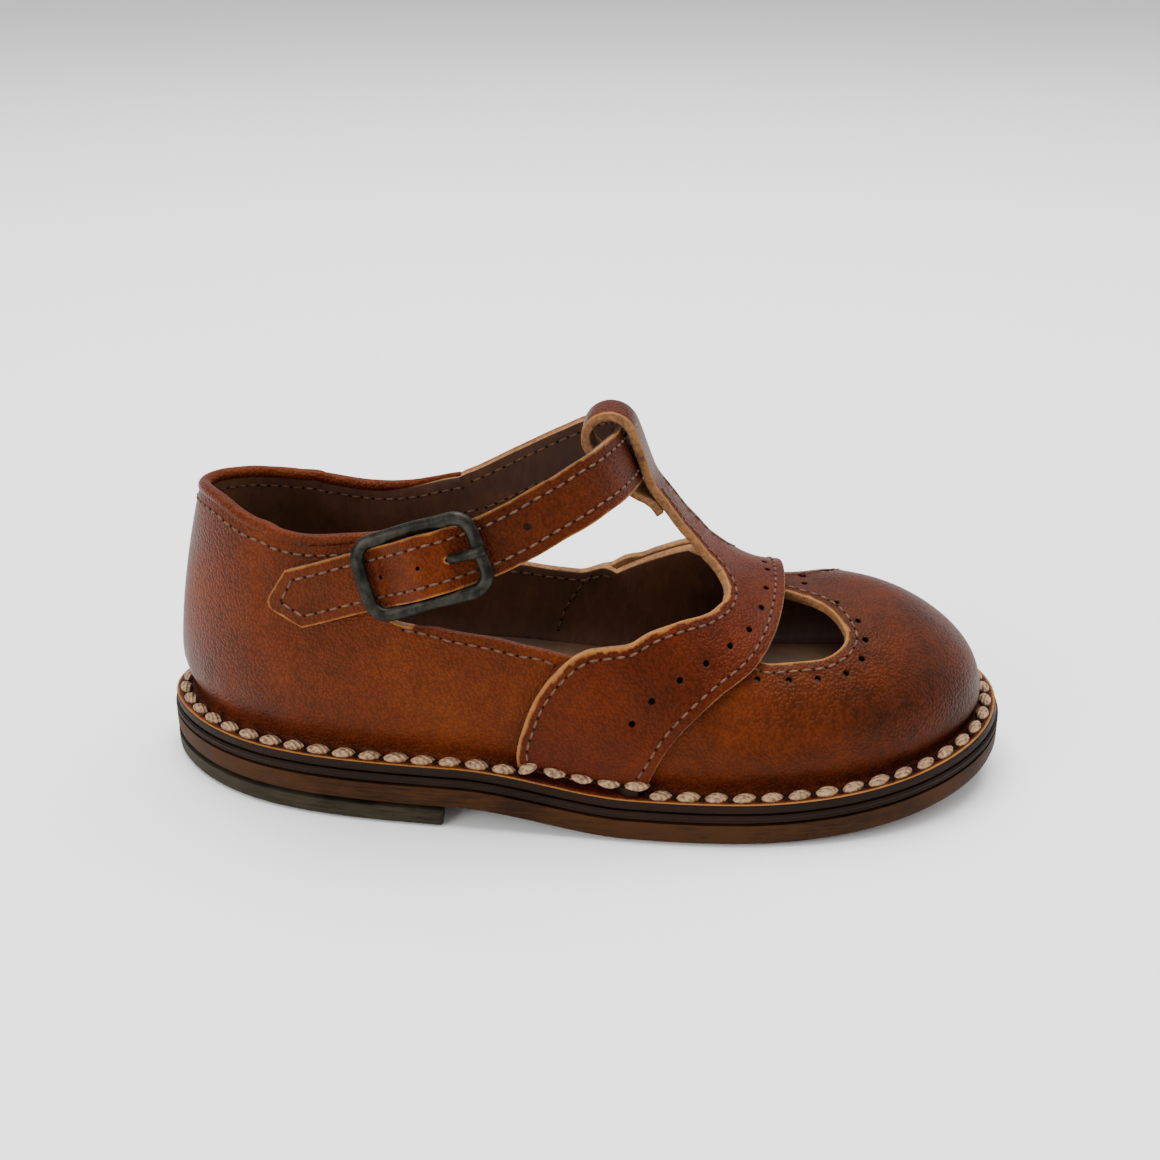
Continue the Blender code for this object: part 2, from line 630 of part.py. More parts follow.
class Belt:
    """Places along the ankle strap: distance from the buckle's pin, distance across, and height."""

    def __init__(self):
        ridge_point = np.array([[RIDGE_CROSS, 0.0]])
        middle = np.vstack([side_view(STRAP_OUTER, -1), ridge_point, side_view(STRAP_INNER, 1)])
        self.line = smooth_run(middle, 0.5)
        surface = lasted(self.line, WALL)
        run = np.r_[0, np.cumsum(np.linalg.norm(np.diff(surface, axis=0), axis=1))]
        outer = self.line[:, 1] < 0
        pin = np.argmin(np.abs(self.line[:, 0] - BUCKLE_X) + 1000 * ~outer)
        self.run = run - run[pin]
        along = np.gradient(surface, axis=0)
        along /= np.linalg.norm(along, axis=1)[:, None]
        self.across = np.cross(face_out(self.line), along)

    def pattern(self, a, b):
        """Pattern points for distances along and across the strap, walked out over the last."""
        a, b = np.asarray(a, float), np.asarray(b, float)
        spot = np.stack([np.interp(a, self.run, self.line[:, i]) for i in range(2)], 1)
        across = np.stack([np.interp(a, self.run, self.across[:, i]) for i in range(3)], 1)
        small, paces = 0.05, 8
        for _ in range(paces):
            du = (lasted(spot + [small, 0], 1) - lasted(spot - [small, 0], 1)) / (2 * small)
            dv = (lasted(spot + [0, small], 1) - lasted(spot - [0, small], 1)) / (2 * small)
            normal = face_out(spot)
            way = across - normal * np.sum(normal * across, axis=1)[:, None]
            way /= np.linalg.norm(way, axis=1)[:, None]
            frame = np.stack([du, dv], 2)
            metric = np.einsum("nij,nik->njk", frame, frame)
            pace = np.linalg.solve(metric, np.einsum("nij,ni->nj", frame, way)[..., None])[..., 0]
            spot = spot + pace * (b / paces)[:, None]
        return spot

    def place(self, a, b, h):
        """Points in space for distances along, across and off the last."""
        a, b, h = np.broadcast_arrays(np.asarray(a, float), b, h)
        return lasted(self.pattern(a.ravel(), b.ravel()), h.ravel())

    def bar(self, a, b, h, closed=False):
        """A centre line with cross directions in the strap's own frame, for a tube."""
        path = self.place(a, b, h)
        up = face_out(self.pattern(np.asarray(a, float), np.asarray(b, float)))
        if closed:
            along = np.roll(path, -1, 0) - np.roll(path, 1, 0)
        else:
            along = np.gradient(path, axis=0)
        along /= np.linalg.norm(along, axis=1)[:, None]
        side = np.cross(along, up)
        side /= np.linalg.norm(side, axis=1)[:, None]
        return path, side, np.cross(side, along)


belt = Belt()
strap_lift = smooth_table(STRAP_LIFT)


# The upper

def sheet(pattern, faces, low, high):
    """A sheet of the upper from pattern points."""
    return lasted(pattern, low), lasted(pattern, high), faces


def strap_rows(step):
    """Rows of the strap from its pointed tip to where it grows out of the inner quarter."""
    inner = belt.line[:, 1] > 0
    seam = belt.run[inner][np.argmin(np.abs(belt.line[inner, 0] - STRAP_SEAM_X))]
    first, last = BUCKLE_ROWS[0], BUCKLE_ROWS[-1]
    body = np.linspace(last, seam, int((seam - last) / step) + 1)[1:]
    tip = np.array([STRAP_TIP, STRAP_TIP + 0.6, 0.5 * (STRAP_TIP + STRAP_SHOULDER)])
    under = np.linspace(STRAP_SHOULDER, first, int((first - STRAP_SHOULDER) / step) + 1)[:-1]
    along = np.r_[tip, under, BUCKLE_ROWS, body]
    half = np.interp(along, (STRAP_TIP, STRAP_TIP + 0.6, STRAP_SHOULDER), (0.5, 1.3, STRAP_HALF))
    return along, half


def build_upper(step=4.0, spacing=5.4):
    """Vamp, both quarters and the strap that is cut in one with the inner quarter."""
    half_run = FEATHER_RUN[-1] / 2
    foot = on_ray(np.linspace(-half_run, half_run, 720), 0.0)
    run = np.linspace(-half_run, half_run, 720)
    seam_outer = run[(run > 0) & (foot[:, 0] < SEAM_X)].max()
    seam_inner = run[(run < 0) & (foot[:, 0] < SEAM_X)].min()
    quarter_run = np.linspace(seam_inner, seam_outer, int((seam_outer - seam_inner) / 6.5) + 1)
    vamp_run = np.linspace(seam_outer, seam_inner + 2 * half_run, int((2 * half_run - seam_outer + seam_inner) / 6.5))
    columns = np.r_[quarter_run, vamp_run[1:-1], quarter_run[0]]

    # Wall foot, bend and brim, one strip all round
    rows = np.r_[BAND_TOP, np.linspace(0, -BEND * np.pi / 2, 4), -BEND * np.pi / 2 - BRIM_ROLL]
    band = np.vstack([on_ray(columns, up) for up in rows[::-1]])
    sheets = [sheet(band, grid_faces(len(rows), len(columns)), 0.0, WALL)]

    # Ankle strap
    along, half = strap_rows(step)
    across = np.linspace(-1, 1, 5)
    a = np.repeat(along, 5)
    b = (half[:, None] * across[None]).ravel()
    low = strap_lift(a)
    pattern = belt.pattern(a, b)
    strap_faces = grid_faces(len(along), 5)[:, ::-1]
    sheets.append((lasted(pattern, low), lasted(pattern, low + WALL), strap_faces))
    root = pattern[-5:]

    # Quarters, drawn unrolled round the heel
    outer_top = smooth_run(side_view(OUTER_EDGE, -1), step)
    collar = smooth_run([*COLLAR, root[4]], step)
    tab_top = side_view(OUTER_TAB[:1], -1)
    collar = np.vstack([smooth_run([tab_top[0], COLLAR[0]], step)[:-1], collar])
    tab = smooth_run(side_view(OUTER_TAB, -1)[::-1], step)
    notch = smooth_run(side_view(OUTER_NOTCH, -1)[::-1], 2.0)
    inner_top = smooth_run(np.vstack([root[:1], side_view(INNER_EDGE, 1)]), step)
    seam_up_outer = smooth_run([on_ray([seam_outer], BAND_TOP)[0], outer_top[-1]], step)
    seam_up_inner = smooth_run([inner_top[-1], on_ray([seam_inner], BAND_TOP)[0]], step)
    foot_line = on_ray(quarter_run, BAND_TOP)
    parts = (foot_line, seam_up_outer[1:], outer_top[::-1][1:], notch[1:], tab[1:], collar[1:-1],
             root[::-1], inner_top[1:], seam_up_inner[1:-1])
    outline = np.vstack(parts)
    flat = round_heel(outline)
    rivet = round_heel(side_view([RIVET_PLACE], -1))[0]
    turns = np.arange(10) * 2 * np.pi / 10
    hole = rivet + RIVET_HOLE * np.c_[np.cos(turns), np.sin(turns)]
    points, faces = fill([flat, hole], spacing)
    back = np.linalg.norm(points[:, None] - flat[None], axis=2)
    quarter = on_ray(points[:, 0], points[:, 1])
    exact = back.min(1) < 1e-4
    quarter[exact] = outline[back.argmin(1)[exact]]
    sheets.append(sheet(quarter, faces, 0.0, WALL))

    # Vamp with its two cut-outs, open behind under the saddle
    inner_front = side_view(smooth_run(INNER_EDGE_FRONT, step), 1)
    opening = smooth_run([outer_top[-1], *OPENING_FRONT, inner_front[0]], step)
    opening = np.vstack([opening, inner_front[1:-1], inner_top[-1:]])
    foot_line = on_ray(vamp_run[::-1], BAND_TOP)
    vamp = np.vstack([opening, seam_up_inner[1:-1], foot_line, seam_up_outer[1:-1]])
    outer_hole = closed_curve(CUTOUT, 26)
    inner_hole = outer_hole * [1, -1] + [0, 2 * CUTOUT_AXIS]
    points, faces = fill_pattern([vamp, outer_hole, inner_hole], VAMP_SPACING)
    sheets.append(sheet(points, faces, 0.0, WALL))

    upper = add_piece("upper", *shell(*joined(sheets)), "upper_leather")
    return upper


# The saddle with its T-bar

def bar_loop(across):
    """Rows of the T-bar from BAR_ROW up the strap, over it in a loop, and down to its sewn end."""
    low, high = SADDLE_LIFT, SADDLE_LIFT + OVERLAY
    rows = []
    for u, slack in BAR_CLIMB:
        pattern = np.c_[np.full(len(across), u), across]
        rows.append((lasted(pattern, low + slack), lasted(pattern, high + slack)))
    top_inner, top_outer = rows[-1]
    out = top_outer[len(across) // 2] - top_inner[len(across) // 2]
    out /= np.linalg.norm(out)
    climb = np.cross(out, [0.0, 1.0, 0.0])
    climb *= np.sign(climb[2])
    for turn in np.radians(np.linspace(0, LOOP_TURN, 11))[1:]:
        shift = LOOP_RADIUS * ((math.cos(turn) - 1) * out + math.sin(turn) * climb)
        facing = math.cos(turn) * out + math.sin(turn) * climb
        middle = 0.5 * (top_inner + top_outer) + shift
        rows.append((middle - facing * OVERLAY / 2, middle + facing * OVERLAY / 2))
    for u, lift in BAR_TAIL:
        pattern = np.c_[np.full(len(across), u), across]
        rows.append((lasted(pattern, lift), lasted(pattern, lift - OVERLAY)))
    return rows


def build_saddle(step=3.2, spacing=4.2):
    """Saddle over vamp and quarters, with the T-bar that loops round the strap."""
    low, high = SADDLE_LIFT, SADDLE_LIFT + OVERLAY
    across = np.linspace(-BAR_HALF, BAR_HALF, 5)

    def foot(x, side):
        x = np.atleast_1d(x)
        girth, _ = girth_of(x, spine_y(x), np.full(len(x), side * np.pi / 2), np.zeros(len(x)))
        return np.c_[x, side * (girth - 1.0)]

    rear_foot, front_foot = SADDLE_FOOT
    foot_x = np.linspace(rear_foot, front_foot, 8)
    rear = [smooth_run([foot(rear_foot, -1)[0], *SADDLE_REAR], step)]
    rear.append(side_view(smooth_run(SADDLE_REAR_INNER, step), 1))
    corner = smooth_run(SADDLE_CORNER, 2.0)
    bar = smooth_run([SADDLE_CORNER[-1], (BAR_ROW, -BAR_HALF)], 2.8)[1:-1]
    neck = np.vstack([corner, bar])
    top = np.c_[np.full(5, BAR_ROW), across]
    front = smooth_run([foot(front_foot, -1)[0], *SADDLE_FRONT, foot(front_foot, 1)[0]], step)
    outline = np.vstack([rear[0][:-1], neck, top, (neck * [1, -1])[::-1], rear[1][::-1], foot(foot_x[1:], 1),
                         front[::-1][1:], foot(foot_x[::-1], -1)[1:-1]])
    points, faces = fill_pattern([outline], spacing)
    sheets = [sheet(points, faces, low, high)]

    rows = [(lasted(top, low), lasted(top, high))] + bar_loop(across)
    inner = np.vstack([r[0] for r in rows])
    outer = np.vstack([r[1] for r in rows])
    ribbon = grid_faces(len(rows), 5)
    sheets.append((inner, outer, ribbon))
    return add_piece("instep_saddle", *shell(*joined(sheets)), "upper_leather")


# Buckle, elastic and rivet

def build_buckle():
    """Frame with its pin, prong, and the elastic that ties the pin to the outer quarter."""
    length, height = BUCKLE_HALF
    corners = []
    for turn in range(4):
        start = turn * np.pi / 2
        centre = (length - BUCKLE_CORNER) * (1, -1, -1, 1)[turn], (height - BUCKLE_CORNER) * (1, 1, -1, -1)[turn]
        for angle in np.linspace(start, start + np.pi / 2, 5):
            corners.append((centre[0] + BUCKLE_CORNER * math.cos(angle), centre[1] + BUCKLE_CORNER * math.sin(angle)))
    ring = np.array(corners)
    ring = resample(np.vstack([ring, ring[:1]]), 41)[:-1]
    frame_line = belt.bar(ring[:, 0], ring[:, 1], np.full(len(ring), BUCKLE_HEIGHT), closed=True)
    frame = add_piece("buckle_frame", *tube(frame_line, WIRE_WIDE, WIRE_THICK, True, 8), "buckle_metal")
    point_outwards(frame)
    b = np.linspace(-height, height, 9)
    dip = PIN_HEIGHT + (BUCKLE_HEIGHT - PIN_HEIGHT) * (np.abs(b) / height) ** 8
    pin_line = belt.bar(np.zeros(9), b, dip)
    pin = add_piece("pin_guide", *tube(pin_line, PIN_RADIUS, PIN_RADIUS, False, 8), "buckle_metal")
    point_outwards(pin)
    combine(frame, pin, "UNION")

    prong_a = np.array([2.6, 3.6, 5.4, 7.8, 10.2, 12.6])
    prong_h = np.array([5.2, 5.8, 6.9, 8.0, 8.75, 8.8])
    prong_line = belt.bar(prong_a, np.zeros(6), prong_h)
    prong = add_piece("buckle_prong", *tube(prong_line, PRONG_RADIUS, PRONG_RADIUS, False, 8), "buckle_metal")
    point_outwards(prong)
    hole_line = belt.bar(np.array([1.6, 3.6, 5.2, 7.4]), np.zeros(4), np.array([4.7, 5.8, 6.9, 8.1]))
    hole = add_piece("prong_hole_guide", *tube(hole_line, PRONG_HOLE, PRONG_HOLE, False, 8), "buckle_metal")
    point_outwards(hole)

    # Elastic: flat on the quarter, then once round the pin
    middle = WALL + GAP + ELASTIC_THICK / 2
    ring_radius = PIN_RADIUS + GAP + 0.1 + ELASTIC_THICK / 2
    flat_a = np.array([-26.5, -20.0, -14.0, -8.0, -4.5, -2.4])
    flat_h = np.array([middle, middle, middle, middle, middle + 0.1, middle + 0.6])
    turns = np.linspace(-math.pi / 2, math.radians(160), 9)
    path_a = np.r_[flat_a, ring_radius * np.cos(turns)]
    path_h = np.r_[flat_h, PIN_HEIGHT + ring_radius * np.sin(turns)]
    slope = np.stack([np.gradient(path_a), np.gradient(path_h)], 1)
    slope /= np.linalg.norm(slope, axis=1)[:, None]
    across = np.linspace(-ELASTIC_HALF, ELASTIC_HALF, 3)
    inner, outer = [], []
    for (a, h), (da, dh) in zip(zip(path_a, path_h), slope):
        half = ELASTIC_THICK / 2
        inner.append(belt.place(np.full(3, a + dh * half), across, h - da * half))
        outer.append(belt.place(np.full(3, a - dh * half), across, h + da * half))
    faces = grid_faces(len(path_a), 3)
    elastic = add_piece("buckle_elastic", *shell(np.vstack(inner), np.vstack(outer), faces), "black_elastic")
    point_outwards(elastic)
    return hole, elastic


def turned(name, centre, axis, profile, finish, sides=16):
    """A round piece turned about an axis from radius and height pairs, closed at both ends."""
    axis = axis / np.linalg.norm(axis)
    side = np.cross(axis, [1.0, 0.0, 0.0])
    side /= np.linalg.norm(side)
    other = np.cross(axis, side)
    points = [centre + axis * profile[0][1]]
    for radius, height in profile[1:-1]:
        for turn in np.arange(sides) * 2 * np.pi / sides:
            points.append(centre + axis * height + radius * (math.cos(turn) * side + math.sin(turn) * other))
    points.append(centre + axis * profile[-1][1])
    faces = []
    rings = len(profile) - 2
    for j in range(sides):
        faces.append((0, 1 + (j + 1) % sides, 1 + j))
        for r in range(rings - 1):
            a, b = 1 + r * sides + j, 1 + r * sides + (j + 1) % sides
            faces += [(a, b, b + sides), (a, b + sides, a + sides)]
        a, b = 1 + (rings - 1) * sides + j, 1 + (rings - 1) * sides + (j + 1) % sides
        faces.append((a, b, len(points) - 1))
    piece = add_piece(name, np.array(points), faces, finish)
    point_outwards(piece)
    return piece


def build_rivet(elastic):
    """Rivet through the outer quarter and the end of the elastic."""
    place = side_view([RIVET_PLACE], -1)
    centre, axis = lasted(place, 0.0)[0], face_out(place)[0]
    under = -GAP - 0.15
    head = ((0.0, -1.6), (1.6, -1.55), (2.7, -1.2), (RIVET_HEAD, -0.75), (RIVET_HEAD, under),
            (RIVET_SHANK, under), (RIVET_SHANK, WALL + GAP + ELASTIC_THICK), (0.0, WALL + GAP + ELASTIC_THICK))
    turned("rivet", centre, axis, head, "rivet_black")
    hole = ((0.0, WALL + 0.1), (RIVET_HOLE, WALL + 0.1), (RIVET_HOLE, WALL + 1.6), (0.0, WALL + 1.6))
    cutter = turned("rivet_hole_guide", centre, axis, hole, "rivet_black")
    combine(elastic, cutter, "DIFFERENCE")


def main():
    for old in list(bpy.data.objects):
        bpy.data.objects.remove(old, do_unlink=True)
    build_sole()
    upper = build_upper()
    build_saddle()
    prong_hole, elastic = build_buckle()
    combine(upper, prong_hole, "DIFFERENCE")
    build_rivet(elastic)


main()
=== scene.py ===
# %% [markdown]
# # A child's T-bar shoe
# One leather shoe for the right foot: closed toe with two cut-outs, open sides, a T-bar that loops
# round a buckled ankle strap, and an upper that is turned out and stitched down to the sole.
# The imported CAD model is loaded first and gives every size. What follows dresses it: fine leather
# panels with raw edges, linings, stitches, punched holes, an edge groove, then finishes, light and camera.

import math

import bmesh
import bpy
import numpy as np
from mathutils import Matrix, Vector
from mathutils.geometry import delaunay_2d_cdt
from mathutils.kdtree import KDTree


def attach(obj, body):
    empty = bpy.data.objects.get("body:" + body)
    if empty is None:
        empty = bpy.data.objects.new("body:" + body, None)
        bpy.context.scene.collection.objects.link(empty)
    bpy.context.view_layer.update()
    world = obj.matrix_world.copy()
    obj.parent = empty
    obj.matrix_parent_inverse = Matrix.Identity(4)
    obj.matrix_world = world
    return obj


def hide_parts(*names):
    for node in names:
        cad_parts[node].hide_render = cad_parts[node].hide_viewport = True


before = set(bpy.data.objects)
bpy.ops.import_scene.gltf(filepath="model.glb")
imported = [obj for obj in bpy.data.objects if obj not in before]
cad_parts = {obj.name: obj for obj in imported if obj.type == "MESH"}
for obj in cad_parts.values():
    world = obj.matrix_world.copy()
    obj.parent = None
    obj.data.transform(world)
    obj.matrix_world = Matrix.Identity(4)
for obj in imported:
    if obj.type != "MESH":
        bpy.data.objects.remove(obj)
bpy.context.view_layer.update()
print("CAD nodes:", ", ".join(sorted(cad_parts)))

# %% [markdown]
# ## Sizes
# All sizes are in millimetres, measured from the back of the heel: x towards the toe, y to the inner
# side, z up. MIDDLE is where the CAD model's origin lies in them. The upper is 2 mm of leather and lining.

# %% Sizes
MM = 0.001
MIDDLE = np.array((86.0, -1.1, 0.0))
GAP = 0.3
SLIVER = 0.0001
EVEN_GIRTH = 58.0
GIRTH_SHARE = 1.06

LENGTH = 172.0
LIFT_RISE = 4.0
LIFT_FRONT = 62.0
OUTSOLE_THICK = 4.6
SOLE_STACK = 6.6
BALL_START = 98.0
BALL_END = 118.0
TOE_SPRING = 6.4

WALL = 2.0
OVERLAY = 1.8
SADDLE_LIFT = 2.15
BRIM = 4.6
BRIM_INSET = 0.4
BEND = 2.8
BRIM_ROLL = 3.5
HEEL_FAN = (30.0, -0.8)
TOE_FAN = (138.0, 3.5)
SEAM_X = 92.0
BAND_TOP = 4.0
SWELL_START = 6.0
SWELL_END = 34.0
PLAN_MIDDLE = 0.7

BAR_HALF = 5.5
BAR_ROW = 99.0
LOOP_RADIUS = 4.6
LOOP_TURN = 196.0
STRAP_HALF = 5.3
STRAP_TIP = -31.0
STRAP_SHOULDER = -26.0
STRAP_SEAM_X = 61.0
BUCKLE_X = 59.4


# %% [markdown]
# ## Tables of the form
# Outlines and edges are smooth lines through a few rounded points. The upper's edges are drawn on the
# unfolded last, as a pattern cutter would: u runs along the foot, v goes out from the ridge line.

# %% Tables
# Midsole outline seen from above, x and y, from the heel round the outer side
OUTLINE = (
    (0.0, -0.5), (6.0, -14.0), (24.0, -26.8), (55.0, -32.6), (84.0, -34.4), (110.0, -35.8),
    (134.0, -33.4), (154.0, -26.0), (168.0, -12.5), (172.0, 4.5), (166.5, 20.0), (153.0, 29.5),
    (132.0, 33.5), (108.0, 32.0), (82.0, 27.5), (54.0, 25.0), (24.0, 25.3), (6.0, 13.5),
)

# Height of the last's ridge line, x and z; it is steep where the instep rises under the strap
RIDGE = (
    (20.0, 89.5), (34.0, 89.5), (48.0, 92.0), (62.0, 93.5), (75.0, 91.0), (84.0, 84.0), (89.0, 77.5),
    (92.6, 70.1), (97.5, 59.1), (100.6, 54.8), (104.9, 49.3), (109.2, 44.4), (114.0, 39.9),
    (120.0, 36.4), (128.0, 35.0), (138.0, 34.8), (148.0, 33.6), (158.0, 31.2), (172.0, 25.5),
)

# Fullness of the last's sections, x, plan exponent, height exponent and swell over the feather line
FULLNESS = (
    (0.0, 1.55, 2.00, 2.4), (30.0, 1.58, 2.00, 2.2), (60.0, 1.85, 1.85, 1.5), (80.0, 2.20, 1.75, 1.5),
    (95.0, 2.35, 1.75, 1.6), (115.0, 2.30, 2.00, 1.7), (138.0, 2.50, 2.30, 2.0), (172.0, 2.50, 2.30, 2.0),
)

# Pattern points on the plan of the last: distance along it, and distance out from the ridge.
# The outer side of the foot is negative.
COLLAR = (
    (58.4, -60.3), (47.4, -61.3), (38.0, -60.5), (30.0, -59.1), (12.1, -55.0), (-3.6, -45.7),
    (-20.4, -24.4), (-27.2, 0.0), (-21.5, 26.6), (-6.0, 47.2), (12.3, 58.0), (31.9, 61.9), (44.9, 64.3),
)
CUTOUT = (
    (121.2, -20.9), (129.1, -20.2), (134.6, -19.0), (137.8, -15.8), (138.4, -13.0), (137.8, -10.4),
    (136.0, -6.8), (133.3, -4.2), (129.7, -2.5), (125.6, -2.0), (124.6, -6.5), (123.0, -13.0),
)
CUTOUT_AXIS = 1.75
SADDLE_REAR = (
    (76.9, -91.0), (77.8, -87.3), (79.4, -82.2), (81.6, -76.9), (85.2, -69.3), (88.6, -62.4),
    (92.4, -53.6), (98.5, -38.8), (104.8, -27.8), (110.2, -19.6), (113.2, -13.2),
)
SADDLE_CORNER = ((113.2, -13.2), (113.4, -9.6), (111.6, -6.8), (108.6, -5.7), (104.5, -BAR_HALF))
SADDLE_FRONT = (
    (102.6, -57.0), (107.3, -45.0), (114.0, -32.6), (121.0, -22.9), (124.4, -16.0), (126.3, -8.0),
    (127.0, CUTOUT_AXIS), (126.3, 11.5), (124.4, 19.4), (120.9, 26.2), (114.2, 34.4), (107.3, 43.6),
    (102.4, 51.6),
)
SADDLE_FOOT = (77.2, 99.6)

# Edges of the side openings seen from the side, x and z
OUTER_TAB = ((62.0, 58.6), (62.0, 46.6))
OUTER_NOTCH = ((62.0, 46.6), (56.5, 45.6), (52.2, 44.0), (51.0, 42.2), (53.2, 40.4), (58.0, 39.6))
OUTER_EDGE = ((58.0, 39.6), (69.5, 38.5), (77.6, 37.0), (86.7, 35.2), (SEAM_X, 34.4))
INNER_EDGE = (
    (53.8, 39.6), (57.5, 36.4), (64.0, 33.9), (70.0, 32.5), (77.7, 31.1), (84.0, 30.1), (SEAM_X, 29.8),
)
OPENING_FRONT = (
    (98.5, -41.6), (104.8, -30.8), (111.2, -21.4), (115.0, -13.0), (115.6, -6.0), (115.6, 0.0),
    (115.6, 6.0), (114.6, 14.4), (109.6, 21.4),
)

INNER_EDGE_FRONT = ((107.4, 37.0), (102.4, 34.6), (97.4, 32.4), (SEAM_X, 29.8))
SADDLE_REAR_INNER = (
    (77.5, 10.8), (78.2, 13.6), (79.1, 17.0), (80.8, 21.4), (83.3, 25.8), (86.4, 28.7), (90.0, 30.3),
    (97.1, 32.7), (102.2, 34.8), (107.6, 37.2), (110.8, 38.6),
)

# Middle of the ankle strap seen from the side, x and z, tip first, then over the ridge at RIDGE_CROSS
STRAP_OUTER = (
    (26.0, 40.8), (33.5, 43.4), (47.9, 48.2), (59.4, 52.2), (70.5, 55.6), (76.1, 58.2), (81.6, 61.2),
    (87.0, 63.9), (91.6, 65.8),
)
RIDGE_CROSS = 94.6
STRAP_INNER = ((91.6, 64.6), (87.0, 62.2), (79.0, 57.9), (70.5, 53.4), (61.0, 48.9), (52.0, 46.0))

# The T-bar over and behind the strap: distance along the last, and how far off its usual place
BAR_CLIMB = ((98.0, 0.0), (97.0, 0.1), (96.0, 0.3), (94.8, 0.5), (93.7, 0.7), (92.6, 0.8))
BAR_TAIL = (
    (93.8, -3.1), (95.2, -1.6), (96.4, -0.7), (97.3, -0.3), (98.1, 0.6), (98.9, 1.5), (99.8, 2.0),
    (101.2, 2.0),
)

# How far the strap stands off the last: distance from the buckle's pin, height of its inner face
STRAP_LIFT = (
    (-32.0, 3.3), (-22.0, 3.35), (-13.5, 3.4), (-9.2, 3.4), (-4.4, 6.0), (0.0, 7.4), (4.4, 6.0),
    (9.2, 3.4), (14.0, 2.8), (22.0, 1.4), (30.0, 0.3), (36.0, 0.0), (42.0, 0.0), (160.0, 0.0),
)

# %% [markdown]
# ## Curves
# Every edge and height is a smooth curve through its table.

# %% Curve helpers
def unit(rows, small=0.0):
    """Rows of vectors at length one; small keeps a zero row from dividing by zero."""
    return rows / (np.linalg.norm(rows, axis=1)[:, None] + small)


def looped(line):
    """A closed line with its first point repeated at its end."""
    return np.vstack([line, line[:1]])


def along_line(line):
    """How far along an open line each of its points is."""
    return np.r_[0, np.cumsum(np.linalg.norm(np.diff(line, axis=0), axis=1))]


def circle(count):
    """Points round a circle of radius one."""
    turns = np.arange(count) * 2 * np.pi / count
    return np.c_[np.cos(turns), np.sin(turns)]


def smooth_table(rows, column=1):
    """A smooth function through one column of a table, against its first column."""
    data = np.array(rows, float)
    xs, ys = data[:, 0], data[:, column]
    gaps = np.diff(xs)
    rises = np.diff(ys) / gaps
    slopes = np.empty(len(xs))
    slopes[1:-1] = (rises[:-1] * gaps[1:] + rises[1:] * gaps[:-1]) / (gaps[1:] + gaps[:-1])
    slopes[0], slopes[-1] = rises[0], rises[-1]

    def value(x):
        x = np.asarray(x, float)
        k = np.clip(np.searchsorted(xs, x) - 1, 0, len(xs) - 2)
        u = np.clip((x - xs[k]) / gaps[k], 0.0, 1.0)
        start = (2 * u**3 - 3 * u**2 + 1) * ys[k] + (u**3 - 2 * u**2 + u) * gaps[k] * slopes[k]
        return start + (3 * u**2 - 2 * u**3) * ys[k + 1] + (u**3 - u**2) * gaps[k] * slopes[k + 1]

    return value


def closed_curve(points, count):
    """Points at even distances on a smooth closed curve through the given points."""
    p = np.array(points, float)
    n = len(p)
    span = np.linalg.norm(np.roll(p, -1, 0) - p, axis=1) ** 0.7
    matrix, right = np.zeros((n, n)), np.zeros((n, 2))
    for i in range(n):
        before, after = span[i - 1], span[i]
        matrix[i, i - 1], matrix[i, i], matrix[i, (i + 1) % n] = after, 2 * (before + after), before
        right[i] = 3 * (after / before * (p[i] - p[i - 1]) + before / after * (p[(i + 1) % n] - p[i]))
    slope = np.linalg.solve(matrix, right)
    knots = np.r_[0, np.cumsum(span)]
    t = np.linspace(0, knots[-1], 2400, endpoint=False)
    k = np.clip(np.searchsorted(knots, t, side="right") - 1, 0, n - 1)
    h = span[k][:, None]
    u = (t - knots[k])[:, None] / h
    k2 = (k + 1) % n
    fine = (2 * u**3 - 3 * u**2 + 1) * p[k] + (u**3 - 2 * u**2 + u) * h * slope[k]
    fine = fine + (3 * u**2 - 2 * u**3) * p[k2] + (u**3 - u**2) * h * slope[k2]
    return resample(looped(fine), count + 1)[:-1]


def resample(line, count):
    """The same open line with a number of points at even distances."""
    along = along_line(line)
    marks = np.linspace(0, along[-1], count)
    return np.stack([np.interp(marks, along, line[:, i]) for i in range(line.shape[1])], 1)


def smooth_run(points, step):
    """An open smooth line through the given points, about one step between its points."""
    p = np.array(points, float)
    if len(p) > 2:
        t = np.r_[0, np.cumsum(np.linalg.norm(np.diff(p, axis=0), axis=1) ** 0.7)]
        fine = np.linspace(0, t[-1], 40 * len(p))
        p = np.stack([smooth_table(np.c_[t, p[:, i]])(fine) for i in range(p.shape[1])], 1)
    length = np.linalg.norm(np.diff(p, axis=0), axis=1).sum()
    return resample(p, max(2, int(round(length / step)) + 1))


def inset(curve, distance):
    """A closed curve moved inwards."""
    along = unit(np.roll(curve, -1, 0) - np.roll(curve, 1, 0))
    return curve + np.c_[-along[:, 1], along[:, 0]] * distance

# %% [markdown]
# ## The last
# A shoe is built over a last, a solid form of the foot. Pattern points fold over it, down the wall,
# round a bend and out along the brim that is stitched to the sole.

# %% The last
EDGE = closed_curve(OUTLINE, 720)
FEATHER = inset(EDGE, BRIM + WALL)
FEATHER_RUN = along_line(looped(FEATHER))
ridge_height = smooth_table(RIDGE)
plan_power = smooth_table(FULLNESS, 1)
rise_power = smooth_table(FULLNESS, 2)
swell_out = smooth_table(FULLNESS, 3)


